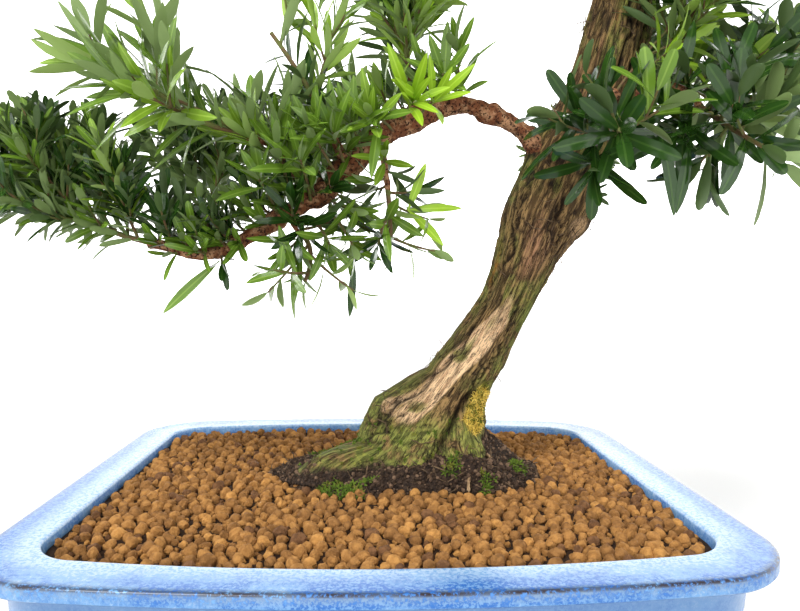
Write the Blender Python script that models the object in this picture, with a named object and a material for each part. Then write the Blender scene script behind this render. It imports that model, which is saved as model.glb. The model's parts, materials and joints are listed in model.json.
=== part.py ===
"""Podocarpus bonsai in a glazed rectangular pot.

Metres, +Z up. The origin is the middle of the pot's flat underside, +X runs along the pot's
long side and -Y faces the viewer. Heights of the tree are given above the pot's rim.
"""

import math
import random
from dataclasses import dataclass, field

import bmesh
import bpy
from mathutils import Quaternion, Vector
from mathutils.bvhtree import BVHTree

GAP = 0.0003
CUT_GAP = 0.0004
MERGE = 2e-6
FLAT_ANGLE = math.radians(0.02)

# Pot: a rounded rectangle whose long sides bow outward, with a lip, a tapering body and a foot.
POT_LENGTH = 0.360
POT_DEPTH = 0.300
POT_HEIGHT = 0.098
POT_CORNER = 0.040
POT_BOW = 0.016
RIM_WIDTH = 0.0245
RIM_CORNER = 0.020
LIP_HEIGHT = 0.0065
ARRIS = 0.0015
CORNER_STEPS = 4
LONG_SIDE_STEPS = 4
CAVITY_FLOOR = 0.014
CAVITY_FLOOR_INSET = 0.036

# Soil: flat under the trunk, falling a little towards the pot's walls.
SOIL_DEPTH_AT_TRUNK = 0.0008
SOIL_DEPTH_FRONT = 0.0018
SOIL_DEPTH_BACK = 0.0033
PLATEAU_CENTRE = (0.026, 0.012)
PLATEAU_REACH = (0.098, 0.064)

RIM = POT_HEIGHT
GROUND = RIM - SOIL_DEPTH_AT_TRUNK

# Trunk: centre (x, y), height above the rim and radius at each station, from the foot to the tip.
TRUNK_STATIONS = (
    ((0.034, 0.012), -0.0008, 0.0345),
    ((0.037, 0.012), 0.0140, 0.0305),
    ((0.039, 0.012), 0.0280, 0.0275),
    ((0.042, 0.011), 0.0420, 0.0245),
    ((0.050, 0.010), 0.0600, 0.0222),
    ((0.061, 0.010), 0.0760, 0.0192),
    ((0.077, 0.009), 0.1040, 0.0167),
    ((0.090, 0.009), 0.1350, 0.0196),
    ((0.100, 0.008), 0.1620, 0.0232),
    ((0.112, 0.007), 0.1900, 0.0222),
    ((0.129, 0.006), 0.2240, 0.0206),
    ((0.143, 0.005), 0.2700, 0.0204),
    ((0.149, 0.004), 0.3060, 0.0186),
    ((0.139, 0.003), 0.3400, 0.0160),
    ((0.116, 0.002), 0.3700, 0.0133),
    ((0.090, 0.001), 0.3940, 0.0104),
    ((0.072, 0.000), 0.4180, 0.0074),
    ((0.068, 0.000), 0.4400, 0.0046),
)
TRUNK_SIDES = 24
TRUNK_RINGS = 25
UPRIGHT_BELOW = 0.045
TILTED_ABOVE = 0.090


@dataclass(frozen=True)
class Root:
    """A root that swells out of the trunk's foot: its bearing, reach, top above the soil and width.

    It keeps its full reach up to the level, and falls away between the level and the top.
    """

    bearing: float
    reach: float
    height: float
    spread: float
    fall: float = 1.2
    level: float = 0.0


ROOTS = (
    Root(bearing=186, reach=0.0235, height=0.0615, spread=30, fall=0.80, level=0.0465),
    Root(bearing=192, reach=0.0390, height=0.0185, spread=15, fall=0.6),
    Root(bearing=-4, reach=0.029, height=0.025, spread=24, fall=1.0),
    Root(bearing=-62, reach=0.012, height=0.039, spread=22),
    Root(bearing=232, reach=0.010, height=0.033, spread=20),
    Root(bearing=132, reach=0.026, height=0.039, spread=22),
    Root(bearing=62, reach=0.018, height=0.033, spread=22),
)


@dataclass(frozen=True)
class Knot:
    """A round swelling on the trunk: its height above the rim, bearing, size and width."""

    height: float
    bearing: float
    rise: float
    spread: float
    length: float


KNOTS = (
    Knot(height=0.166, bearing=-8, rise=0.0055, spread=30, length=0.013),
    Knot(height=0.196, bearing=190, rise=0.0040, spread=32, length=0.014),
    Knot(height=0.226, bearing=-20, rise=0.0030, spread=34, length=0.012),
)


@dataclass(frozen=True)
class Limb:
    """A tapering limb. A side limb starts inside its parent; a following one at its parent's tip."""

    name: str
    parent: str
    route: tuple
    start_radius: float
    end_radius: float
    follows: bool = False


LIMBS = (
    Limb("left_bough_inner", "trunk",
         ((0.108, 0.006, 0.188), (0.093, 0.000, 0.202), (0.080, -0.003, 0.213),
          (0.062, -0.006, 0.220), (0.047, -0.008, 0.2245), (0.036, -0.009, 0.2225)),
         0.0066, 0.0056),
    Limb("left_bough_middle", "left_bough_inner",
         ((0.027, -0.010, 0.219), (0.009, -0.012, 0.210), (-0.008, -0.016, 0.200),
          (-0.020, -0.018, 0.186), (-0.031, -0.020, 0.175), (-0.035, -0.022, 0.167)),
         0.0064, 0.0062, follows=True),
    Limb("left_bough_outer", "left_bough_middle",
         ((-0.048, -0.024, 0.161), (-0.064, -0.026, 0.151), (-0.080, -0.028, 0.141),
          (-0.092, -0.030, 0.134)),
         0.0048, 0.0038, follows=True),
    Limb("left_bough_tip", "left_bough_outer",
         ((-0.106, -0.032, 0.133), (-0.118, -0.033, 0.136), (-0.132, -0.033, 0.139)),
         0.0036, 0.0030, follows=True),
    Limb("left_front_limb", "left_bough_outer",
         ((-0.046, -0.0235, 0.162), (-0.050, -0.036, 0.178), (-0.060, -0.049, 0.191),
          (-0.074, -0.058, 0.193)),
         0.0036, 0.0026),
    Limb("left_rise_limb", "left_bough_outer",
         ((-0.086, -0.029, 0.138), (-0.092, -0.018, 0.150), (-0.098, -0.008, 0.160)),
         0.0034, 0.0026),
    Limb("left_middle_limb", "left_bough_middle",
         ((-0.022, -0.0185, 0.184), (-0.027, -0.031, 0.194), (-0.032, -0.040, 0.204)),
         0.0036, 0.0027),
    Limb("left_inner_limb", "left_bough_middle",
         ((0.019, -0.011, 0.215), (0.018, -0.014, 0.228), (0.014, -0.018, 0.238)),
         0.0036, 0.0027),
    Limb("left_back_limb", "left_bough_inner",
         ((0.050, -0.007, 0.224), (0.036, 0.014, 0.224), (0.014, 0.036, 0.220),
          (-0.006, 0.050, 0.215)),
         0.0044, 0.0030),
    Limb("hanging_limb", "left_bough_middle",
         ((-0.004, -0.015, 0.202), (0.000, -0.019, 0.186), (0.002, -0.019, 0.170)),
         0.0032, 0.0024),
    Limb("under_limb", "left_bough_outer",
         ((-0.054, -0.025, 0.157), (-0.050, -0.030, 0.148), (-0.045, -0.032, 0.143)),
         0.0030, 0.0024),
    Limb("right_bough", "trunk",
         ((0.130, 0.005, 0.222), (0.150, 0.000, 0.230), (0.167, -0.005, 0.235),
          (0.182, -0.008, 0.237)),
         0.0076, 0.0044),
    Limb("right_front_limb", "trunk",
         ((0.120, 0.006, 0.204), (0.122, -0.016, 0.205), (0.124, -0.029, 0.203)),
         0.0050, 0.0034),
    Limb("right_low_limb", "right_bough",
         ((0.174, -0.0065, 0.2362), (0.178, -0.021, 0.229), (0.181, -0.032, 0.220)),
         0.0036, 0.0027),
    Limb("right_top_limb", "right_bough",
         ((0.161, -0.003, 0.233), (0.164, -0.016, 0.241), (0.166, -0.024, 0.251)),
         0.0034, 0.0026),
    Limb("back_low_limb", "trunk",
         ((0.114, 0.007, 0.198), (0.124, 0.032, 0.206), (0.134, 0.052, 0.209)),
         0.0044, 0.0030),
    Limb("right_back_limb", "trunk",
         ((0.140, 0.005, 0.252), (0.150, 0.030, 0.260), (0.162, 0.050, 0.263)),
         0.0058, 0.0036),
    Limb("cut_stub", "trunk",
         ((0.133, 0.005, 0.225), (0.1335, -0.012, 0.228), (0.133, -0.021, 0.229)),
         0.0048, 0.0042),
    Limb("upper_left_bough", "trunk",
         ((0.146, 0.004, 0.324), (0.112, 0.016, 0.338), (0.070, 0.026, 0.343),
          (0.034, 0.032, 0.338)),
         0.0078, 0.0042),
    Limb("upper_left_front_limb", "upper_left_bough",
         ((0.084, 0.023, 0.342), (0.068, 0.000, 0.350), (0.056, -0.018, 0.353)),
         0.0040, 0.0030),
    Limb("upper_right_bough", "trunk",
         ((0.148, 0.004, 0.300), (0.172, -0.004, 0.318), (0.192, -0.009, 0.326)),
         0.0070, 0.0042),
    Limb("upper_back_bough", "trunk",
         ((0.130, 0.003, 0.353), (0.120, 0.030, 0.366), (0.108, 0.054, 0.370)),
         0.0056, 0.0036),
    Limb("upper_front_bough", "trunk",
         ((0.142, 0.003, 0.334), (0.144, -0.022, 0.348), (0.141, -0.036, 0.352)),
         0.0054, 0.0036),
    Limb("apex_left_limb", "trunk",
         ((0.092, 0.001, 0.392), (0.066, 0.004, 0.402), (0.048, 0.005, 0.408)),
         0.0046, 0.0032),
    Limb("apex_right_limb", "trunk",
         ((0.108, 0.002, 0.378), (0.132, 0.006, 0.396), (0.146, 0.007, 0.402)),
         0.0046, 0.0032),
)
THICK_LIMB = 0.0054
THICK_LIMB_SIDES = 8
THIN_LIMB_SIDES = 6
LIMB_RING_SPACING = 0.015
LIMB_SHARP_ANGLE = 50


@dataclass(frozen=True)
class Mass:
    """A mass of foliage: the limb it grows from, and the egg-shaped space that it keeps to."""

    name: str
    limb: str
    centre: tuple
    reach: tuple
    shoots: int
    seed: int


MASSES = (
    Mass("left_tip_foliage", "left_bough_tip", (-0.192, -0.026, 0.172), (0.078, 0.060, 0.050), 7, 11),
    Mass("left_front_foliage", "left_front_limb", (-0.112, -0.086, 0.212), (0.060, 0.050, 0.050), 6, 12),
    Mass("left_rise_foliage", "left_rise_limb", (-0.106, 0.012, 0.188), (0.060, 0.056, 0.050), 5, 13),
    Mass("left_middle_foliage", "left_middle_limb", (-0.048, -0.050, 0.228), (0.056, 0.052, 0.056), 6, 14),
    Mass("left_inner_foliage", "left_inner_limb", (0.016, -0.022, 0.262), (0.062, 0.052, 0.050), 6, 15),
    Mass("left_back_foliage", "left_back_limb", (-0.048, 0.076, 0.214), (0.072, 0.058, 0.050), 6, 16),
    Mass("hanging_foliage", "hanging_limb", (0.004, -0.020, 0.142), (0.056, 0.048, 0.054), 5, 17),
    Mass("under_foliage", "under_limb", (-0.044, -0.040, 0.120), (0.054, 0.050, 0.050), 4, 18),
    Mass("right_tip_foliage", "right_bough", (0.226, -0.008, 0.240), (0.064, 0.060, 0.054), 6, 21),
    Mass("right_front_foliage", "right_front_limb", (0.118, -0.066, 0.198), (0.058, 0.050, 0.052), 6, 22),
    Mass("right_low_foliage", "right_low_limb", (0.188, -0.058, 0.202), (0.058, 0.054, 0.056), 5, 23),
    Mass("right_top_foliage", "right_top_limb", (0.176, -0.044, 0.278), (0.056, 0.050, 0.050), 5, 24),
    Mass("right_back_foliage", "right_back_limb", (0.202, 0.080, 0.268), (0.062, 0.058, 0.050), 6, 25),
    Mass("back_low_foliage", "back_low_limb", (0.150, 0.096, 0.214), (0.056, 0.056, 0.050), 5, 26),
    Mass("upper_left_foliage", "upper_left_bough", (-0.028, 0.038, 0.334), (0.074, 0.062, 0.052), 6, 31),
    Mass("upper_left_front_foliage", "upper_left_front_limb", (0.036, -0.060, 0.356),
         (0.062, 0.054, 0.048), 5, 32),
    Mass("upper_right_foliage", "upper_right_bough", (0.230, -0.012, 0.340), (0.062, 0.060, 0.052), 6, 33),
    Mass("upper_back_foliage", "upper_back_bough", (0.088, 0.098, 0.372), (0.070, 0.062, 0.050), 6, 34),
    Mass("upper_front_foliage", "upper_front_bough", (0.142, -0.080, 0.360), (0.062, 0.056, 0.048), 5, 35),
    Mass("apex_left_foliage", "apex_left_limb", (0.006, 0.002, 0.422), (0.062, 0.060, 0.050), 5, 36),
    Mass("apex_right_foliage", "apex_right_limb", (0.178, 0.008, 0.418), (0.062, 0.060, 0.050), 5, 37),
    Mass("apex_foliage", "trunk", (0.076, 0.000, 0.476), (0.066, 0.062, 0.052), 7, 38),
)

# Foliage: stems and shoots are three-sided twigs, and leaves are thin four-faced blades.
STEM_RADIUS = 0.0032
STEM_END_RADIUS = 0.0026
SHOOT_RADIUS = 0.0015
SHOOT_TAPER = 0.85
STEM_STEPS = 2
SHOOT_STEPS = 2
FIRST_SHOOT = 0.7
SHOOTS_END = 0.92
SHOOT_LEAN = 0.55
SHOOT_RISE = 0.30
SHOOT_CURL = 0.15
SHORTEST_SHOOT = 0.014
LONGEST_SHOOT = 0.060
LEAF_ROOM = 0.034
ROOM_SHARES = (0.75, 1.0)
LEAF_LENGTH = 0.048
LEAF_SIZES = (0.74, 1.06)
LEAF_WIDTH = 0.0108
LEAF_THICKNESS = 0.0012
LEAF_WIDEST = 0.45
LEAF_SUNK = 0.0008
LEAF_NECK = 0.16
LEAF_SPACING = 0.0045
LEAF_OPENING = (34, 50)
LEAF_OPENING_GROWTH = 24
FACE_PLAY = 10
LEAF_TRIES = (0, 14, 28, 42, -14)
BARE_BELOW = 0.92
CLEARANCE = 0.0007
GOLDEN_ANGLE = math.pi * (3 - math.sqrt(5))


@dataclass(frozen=True)
class Finish:
    """A plain material: its colour, roughness and how metallic it is."""

    name: str
    colour: tuple
    roughness: float
    metallic: float = 0.0


GLAZE = Finish("blue_glaze", (0.115, 0.250, 0.580), 0.22)
GRIT = Finish("akadama_grit", (0.330, 0.165, 0.070), 0.95)
BARK = Finish("bark", (0.215, 0.140, 0.085), 0.90)
BOUGH_BARK = Finish("bough_bark", (0.250, 0.115, 0.060), 0.88)
LEAF = Finish("leaf", (0.055, 0.160, 0.035), 0.35)


@dataclass
class Tube:
    """A limb's centre line as points with their directions and radii."""

    points: list = field(default_factory=list)
    directions: list = field(default_factory=list)
    radii: list = field(default_factory=list)


def clear_scene():
    for obj in list(bpy.data.objects):
        bpy.data.objects.remove(obj, do_unlink=True)


def material_for(finish):
    material = bpy.data.materials.get(finish.name)
    if material is None:
        material = bpy.data.materials.new(finish.name)
        material.use_nodes = True
        shader = material.node_tree.nodes["Principled BSDF"]
        shader.inputs["Base Color"].default_value = (*finish.colour, 1.0)
        shader.inputs["Roughness"].default_value = finish.roughness
        shader.inputs["Metallic"].default_value = finish.metallic
    return material


def add_object(name, mesh, finish, smooth_angle=None):
    mesh.materials.clear()
    mesh.materials.append(material_for(finish))
    if smooth_angle is not None:
        mesh.shade_smooth()
        mesh.set_sharp_from_angle(angle=math.radians(smooth_angle))
    obj = bpy.data.objects.new(name, mesh)
    bpy.context.scene.collection.objects.link(obj)
    return obj


def mesh_from_rings(name, rings):
    """A closed mesh through rings of equal length, capped at both ends, faces pointing out."""
    shape = bmesh.new()
    rows = [[shape.verts.new(point) for point in ring] for ring in rings]
    count = len(rows[0])
    for lower, upper in zip(rows, rows[1:]):
        for side in range(count):
            after = (side + 1) % count
            shape.faces.new((lower[side], lower[after], upper[after], upper[side]))
    shape.faces.new(tuple(reversed(rows[0])))
    shape.faces.new(tuple(rows[-1]))
    bmesh.ops.recalc_face_normals(shape, faces=shape.faces)
    mesh = bpy.data.meshes.new(name)
    shape.to_mesh(mesh)
    shape.free()
    return mesh


def pot_outline(inset, corner, height):
    """The pot's rounded rectangle, set in from the rim's outer edge, with bowed long sides."""
    half_x = POT_LENGTH / 2 - inset
    half_y = POT_DEPTH / 2 - inset
    flat = []
    for quarter in range(4):
        turn = quarter * math.pi / 2
        side_x = half_x - corner if quarter in (0, 3) else corner - half_x
        side_y = half_y - corner if quarter in (0, 1) else corner - half_y
        for step in range(CORNER_STEPS + 1):
            angle = turn + step / CORNER_STEPS * math.pi / 2
            flat.append((side_x + corner * math.cos(angle), side_y + corner * math.sin(angle)))
        if quarter in (0, 2):
            for step in range(1, LONG_SIDE_STEPS):
                across = (half_x - corner) * (1 - 2 * step / LONG_SIDE_STEPS)
                sign = 1 if quarter == 0 else -1
                flat.append((sign * across, sign * half_y))
    points = []
    for x, y in flat:
        bow = POT_BOW * (1 - (x / half_x) ** 2) * y / half_y
        points.append(Vector((x, y + bow, height)))
    return points


def build_pot():
    # Each row is how far in from the rim's outer edge, the corner's radius and the height.
    profile = (
        (0.030, 0.030, 0.0),
        (0.028, 0.032, 0.008),
        (0.024, 0.034, 0.010),
        (0.013, 0.037, 0.050),
        (0.0095, 0.038, POT_HEIGHT - 0.014),
        (0.0085, 0.038, POT_HEIGHT - LIP_HEIGHT - 0.0015),
        (0.0, POT_CORNER, POT_HEIGHT - LIP_HEIGHT),
        (0.0, POT_CORNER, POT_HEIGHT - ARRIS),
        (ARRIS, POT_CORNER - ARRIS, POT_HEIGHT),
        (RIM_WIDTH - ARRIS, RIM_CORNER + ARRIS, POT_HEIGHT),
        (RIM_WIDTH, RIM_CORNER, POT_HEIGHT - ARRIS),
        (CAVITY_FLOOR_INSET, RIM_CORNER, CAVITY_FLOOR),
    )
    rings = [pot_outline(*row) for row in profile]
    return add_object("pot", mesh_from_rings("pot", rings), GLAZE, smooth_angle=35)


def wall_inset(height):
    """How far the cavity's wall lies in from the rim's outer edge at a height."""
    share = (POT_HEIGHT - ARRIS - height) / (POT_HEIGHT - ARRIS - CAVITY_FLOOR)
    return RIM_WIDTH + share * (CAVITY_FLOOR_INSET - RIM_WIDTH)


def soil_edge_height(y):
    share = 0.5 + y / POT_DEPTH
    return POT_HEIGHT - SOIL_DEPTH_FRONT - share * (SOIL_DEPTH_BACK - SOIL_DEPTH_FRONT)


def build_soil():
    floor = CAVITY_FLOOR + GAP
    bottom = pot_outline(wall_inset(floor) + GAP * 1.5, RIM_CORNER, floor)
    edge_level = soil_edge_height(0.0)
    edge = pot_outline(wall_inset(edge_level) + GAP * 2, RIM_CORNER, edge_level)
    for point in edge:
        point.z = soil_edge_height(point.y)
    plateau = []
    for point in edge:
        angle = math.atan2(point.y / POT_DEPTH, point.x / POT_LENGTH)
        x = PLATEAU_CENTRE[0] + PLATEAU_REACH[0] * math.cos(angle)
        y = PLATEAU_CENTRE[1] + PLATEAU_REACH[1] * math.sin(angle)
        plateau.append(Vector((x, y, GROUND - GAP)))
    rings = [bottom, edge]
    for share in (0.25, 0.6):
        rings.append([a.lerp(b, share) for a, b in zip(edge, plateau)])
    rings.append(plateau)
    return add_object("soil", mesh_from_rings("soil", rings), GRIT, smooth_angle=40)


def spline(values, count):
    """Points on a smooth curve through the given vectors, evenly shared between them."""
    spans = len(values) - 1
    padded = [values[0] * 2 - values[1], *values, values[-1] * 2 - values[-2]]
    points = []
    for index in range(count):
        place = index / (count - 1) * spans
        span = min(int(place), spans - 1)
        t = place - span
        a, b, c, d = padded[span:span + 4]
        points.append(0.5 * ((2 * b) + (c - a) * t + (2 * a - 5 * b + 4 * c - d) * t * t
                             + (3 * b - a - 3 * c + d) * t ** 3))
    return points


def length_of(points):
    return sum((b - a).length for a, b in zip(points, points[1:]))


def directions_along(points):
    found = []
    for index in range(len(points)):
        before = points[max(index - 1, 0)]
        after = points[min(index + 1, len(points) - 1)]
        found.append((after - before).normalized())
    return found


def frames_along(directions, first_side):
    """Two side vectors at each point, turned as little as possible from one to the next."""
    side = (first_side - directions[0] * first_side.dot(directions[0])).normalized()
    frames = [(side, directions[0].cross(side))]
    for before, after in zip(directions, directions[1:]):
        side = before.rotation_difference(after) @ side
        side = (side - after * side.dot(after)).normalized()
        frames.append((side, after.cross(side)))
    return frames


def smooth_step(value, low, high):
    t = min(max((value - low) / (high - low), 0.0), 1.0)
    return t * t * (3 - 2 * t)


def angle_apart(first, second):
    """The difference of two bearings in degrees, from -180 to 180."""
    return (first - second + 180) % 360 - 180


def trunk_line():
    """The trunk's centre line, its section planes and its radii from the foot to the tip."""
    stations = [Vector((x, y, RIM + height, radius)) for (x, y), height, radius in TRUNK_STATIONS]
    samples = spline(stations, TRUNK_RINGS)
    line = Tube(points=[Vector(sample[:3]) for sample in samples],
                radii=[sample[3] for sample in samples])
    up = Vector((0, 0, 1))
    for point, direction in zip(line.points, directions_along(line.points)):
        tilt = smooth_step(point.z - RIM, UPRIGHT_BELOW, TILTED_ABOVE)
        line.directions.append(up.lerp(direction, tilt).normalized())
    return line


def trunk_radius(radius, height, bearing):
    """The trunk's radius at a height above the rim and a bearing in degrees, with roots and knots."""
    above_soil = height + SOIL_DEPTH_AT_TRUNK
    for root in ROOTS:
        if above_soil < root.height:
            left = min((root.height - above_soil) / (root.height - root.level), 1.0)
            reach = root.reach * left ** root.fall
            radius += reach * math.exp(-(angle_apart(bearing, root.bearing) / root.spread) ** 2)
    for knot in KNOTS:
        along = (height - knot.height) / knot.length
        around = angle_apart(bearing, knot.bearing) / knot.spread
        radius += knot.rise * math.exp(-along * along - around * around)
    return radius


def trunk_rings(line, extra=0.0):
    rings = []
    frames = frames_along(line.directions, Vector((1, 0, 0)))
    for centre, radius, (side, other) in zip(line.points, line.radii, frames):
        ring = []
        for step in range(TRUNK_SIDES):
            bearing = 360 * step / TRUNK_SIDES
            reach = trunk_radius(radius, centre.z - RIM, bearing) + extra
            angle = math.radians(bearing)
            ring.append(centre + reach * (math.cos(angle) * side + math.sin(angle) * other))
        rings.append(ring)
    return rings


def limb_rings(line, extra=0.0):
    sides = THICK_LIMB_SIDES if line.radii[0] > THICK_LIMB else THIN_LIMB_SIDES
    rings = []
    start = Vector((0, 0, 1)) if abs(line.directions[0].z) < 0.8 else Vector((0, 1, 0))
    frames = frames_along(line.directions, start)
    for centre, radius, (side, other) in zip(line.points, line.radii, frames):
        ring = []
        for step in range(sides):
            angle = 2 * math.pi * step / sides
            ring.append(centre + (radius + extra) * (math.cos(angle) * side + math.sin(angle) * other))
        rings.append(ring)
    return rings


def limb_line(limb, parent_line):
    route = [Vector((x, y, RIM + height)) for x, y, height in limb.route]
    if limb.follows:
        start = parent_line.points[-1] + parent_line.directions[-1] * GAP
        route.insert(0, start)
    length = length_of(route)
    points = spline(route, max(2, round(length / LIMB_RING_SPACING) + 1))
    line = Tube(points=points, directions=directions_along(points))
    if limb.follows:
        line.directions[0] = parent_line.directions[-1].copy()
    last = len(points) - 1
    for index in range(len(points)):
        share = index / last
        line.radii.append(limb.start_radius + (limb.end_radius - limb.start_radius) * share)
    return line


def cut_with(obj, cutter_mesh):
    """Cuts a closed mesh out of the object, so that it ends just short of its parent."""
    cutter = bpy.data.objects.new("cutter", cutter_mesh)
    bpy.context.scene.collection.objects.link(cutter)
    boolean = obj.modifiers.new("cut", "BOOLEAN")
    boolean.operation = "DIFFERENCE"
    boolean.solver = "EXACT"
    boolean.object = cutter
    apply_modifiers(obj)
    bpy.data.objects.remove(cutter, do_unlink=True)
    bpy.data.meshes.remove(cutter_mesh)


def apply_modifiers(obj):
    bpy.context.view_layer.update()
    graph = bpy.context.evaluated_depsgraph_get()
    mesh = bpy.data.meshes.new_from_object(obj.evaluated_get(graph), depsgraph=graph)
    before = obj.data
    obj.modifiers.clear()
    obj.data = mesh
    mesh.name = obj.name
    bpy.data.meshes.remove(before)
    keep_largest_body(mesh)


def keep_largest_body(mesh):
    """Drops loose scraps and the walls of sealed hollows, and keeps the outer body."""
    shape = bmesh.new()
    shape.from_mesh(mesh)
    bmesh.ops.remove_doubles(shape, verts=shape.verts, dist=MERGE)
    bmesh.ops.dissolve_degenerate(shape, edges=shape.edges, dist=MERGE)
    bmesh.ops.dissolve_limit(shape, angle_limit=FLAT_ANGLE, verts=shape.verts, edges=shape.edges)
    bmesh.ops.triangulate(shape, faces=shape.faces)
    remaining = set(shape.faces)
    bodies = []
    while remaining:
        body = []
        stack = [remaining.pop()]
        while stack:
            face = stack.pop()
            body.append(face)
            for edge in face.edges:
                for neighbour in edge.link_faces:
                    if neighbour in remaining:
                        remaining.remove(neighbour)
                        stack.append(neighbour)
        bodies.append(body)
    largest = max(bodies, key=volume_of)
    for body in bodies:
        if body is not largest:
            bmesh.ops.delete(shape, geom=body, context="FACES")
    shape.to_mesh(mesh)
    shape.free()


def volume_of(faces):
    total = 0.0
    for face in faces:
        a, b, c = (vert.co for vert in face.verts[:3])
        total += a.dot(b.cross(c)) / 6
    return total


def build_limbs(lines):
    for limb in LIMBS:
        line = limb_line(limb, lines[limb.parent])
        lines[limb.name] = line
        obj = add_object(limb.name, mesh_from_rings(limb.name, limb_rings(line)), BOUGH_BARK)
        if not limb.follows:
            parent = lines[limb.parent]
            rings = trunk_rings if limb.parent == "trunk" else limb_rings
            cut_with(obj, mesh_from_rings("cutter", rings(parent, extra=CUT_GAP)))
        obj.data.shade_smooth()
        obj.data.set_sharp_from_angle(angle=math.radians(LIMB_SHARP_ANGLE))


def inside(mass, point):
    """Whether a point lies in a mass's space."""
    total = 0.0
    for value, centre, reach in zip(point, rim_place(mass.centre), mass.reach):
        total += ((value - centre) / reach) ** 2
    return total <= 1.0


def rim_place(place):
    return Vector((place[0], place[1], RIM + place[2]))


def twig_shape(points, start_radius, end_radius, first_direction=None):
    """A three-sided tapering twig as points and faces."""
    directions = directions_along(points)
    if first_direction is not None:
        directions[0] = first_direction
    frames = frames_along(directions, perpendicular(directions[0]))
    verts = []
    last = len(points) - 1
    for index, (centre, (side, other)) in enumerate(zip(points, frames)):
        radius = start_radius + (end_radius - start_radius) * index / last
        for corner in range(3):
            angle = 2 * math.pi * corner / 3
            verts.append(centre + radius * (math.cos(angle) * side + math.sin(angle) * other))
    faces = [(2, 1, 0), (last * 3, last * 3 + 1, last * 3 + 2)]
    for ring in range(last):
        for corner in range(3):
            a = ring * 3 + corner
            b = ring * 3 + (corner + 1) % 3
            faces.append((a, b, b + 3))
            faces.append((a, b + 3, a + 3))
    return verts, faces


def perpendicular(direction):
    helper = Vector((0, 0, 1)) if abs(direction.z) < 0.8 else Vector((1, 0, 0))
    return (helper - direction * helper.dot(direction)).normalized()


def leaf_shape(root, direction, facing, length, width, thickness):
    """A leaf of four faces, folded a little upward on both sides of a keel from root to tip."""
    side = direction.cross(facing).normalized()
    up = side.cross(direction).normalized()
    start = root - direction * LEAF_SUNK
    widest = start + direction * length * LEAF_WIDEST + up * thickness
    verts = [
        start,
        widest + side * width / 2,
        widest - side * width / 2,
        start + direction * length,
    ]
    return verts, [(0, 1, 2), (0, 3, 1), (0, 2, 3), (3, 2, 1)]


def tree_of(shape):
    verts, faces = shape
    return BVHTree.FromPolygons(verts, faces)


def joined(shapes):
    verts = []
    faces = []
    for shape_verts, shape_faces in shapes:
        first = len(verts)
        verts.extend(shape_verts)
        faces.extend(tuple(index + first for index in face) for face in shape_faces)
    return verts, faces


def shape_of_object(obj):
    mesh = obj.data
    mesh.calc_loop_triangles()
    faces = [tuple(triangle.vertices) for triangle in mesh.loop_triangles]
    return [vert.co.copy() for vert in mesh.vertices], faces


def bent_path(start, first_direction, end, steps, bend=0.45):
    """A curved path that leaves in one direction and ends at a point."""
    control = start + first_direction * (end - start).length * bend
    points = []
    for index in range(steps + 1):
        t = index / steps
        points.append(start * (1 - t) ** 2 + control * 2 * t * (1 - t) + end * t * t)
    return points


def way_out(mass, start, direction):
    """How far a point can go in a direction before it leaves the mass's space."""
    offset = [(a - c) / r for a, c, r in zip(start, rim_place(mass.centre), mass.reach)]
    step = [d / r for d, r in zip(direction, mass.reach)]
    a = sum(value * value for value in step)
    b = sum(o * d for o, d in zip(offset, step))
    c = sum(value * value for value in offset) - 1.0
    return (-b + math.sqrt(max(b * b - a * c, 0.0))) / a


def stem_of(mass, lines):
    """The mass's stem, from just clear of its limb's tip, through the middle of its space."""
    line = lines[mass.limb]
    direction = line.directions[-1]
    root = line.points[-1] + direction * GAP
    centre = rim_place(mass.centre)
    onward = (centre - root).normalized()
    end = centre + onward * max(way_out(mass, centre, onward) - LEAF_ROOM, 0.0)
    return bent_path(root, direction, end, STEM_STEPS)


def point_on(path, share):
    """The point and direction at a share of the way along a path of straight pieces."""
    place = share * (len(path) - 1)
    span = min(int(place), len(path) - 2)
    direction = (path[span + 1] - path[span]).normalized()
    return path[span].lerp(path[span + 1], place - span), direction


def grow_shoots(mass, stem, blocked, rng):
    """Paths of the shoots, which leave the stem in turn on all sides and lean up and outward."""
    paths = []
    turn = rng.uniform(0, 2 * math.pi)
    for index in range(mass.shoots):
        start, axis = point_on(stem, (index + FIRST_SHOOT) / mass.shoots * SHOOTS_END)
        turn += GOLDEN_ANGLE
        side = Quaternion(axis, turn) @ perpendicular(axis)
        onward = (side + axis * SHOOT_LEAN + Vector((0, 0, SHOOT_RISE))).normalized()
        length = way_out(mass, start, onward) - LEAF_ROOM * rng.uniform(*ROOM_SHARES)
        length = min(max(length, SHORTEST_SHOOT), LONGEST_SHOOT)
        end = start + onward * length + Vector((0, 0, SHOOT_CURL * length))
        path = bent_path(start, onward, end, SHOOT_STEPS)
        guard = twig_shape(path, SHOOT_RADIUS + 2 * CLEARANCE, SHOOT_RADIUS + 2 * CLEARANCE)
        if not tree_of(guard).overlap(blocked):
            paths.append(path)
    return paths


def leaf_places(path, rng):
    """Leaf roots along a shoot from its tip down, each out of the middle of one of its sides."""
    directions = directions_along(path)
    frames = frames_along(directions, perpendicular(directions[0]))
    length = length_of(path)
    places = [(path[-1] - directions[-1] * LEAF_SPACING / 2, directions[-1], frames[-1][0], 0.0)]
    face = rng.randrange(3)
    along = LEAF_SPACING * 1.5
    while along < length * BARE_BELOW:
        share = 1 - along / length
        root, axis = point_on(path, share)
        side, other = frames[min(int(share * (len(path) - 1)), len(path) - 2)]
        face += 1
        turn = math.radians(60 + 120 * face + rng.uniform(-FACE_PLAY, FACE_PLAY))
        outward = side * math.cos(turn) + other * math.sin(turn)
        outward = (outward - axis * outward.dot(axis)).normalized()
        opening = rng.uniform(*LEAF_OPENING) + along / length * LEAF_OPENING_GROWTH
        places.append((root, axis, outward, math.radians(opening)))
        along += LEAF_SPACING
    return places


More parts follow.
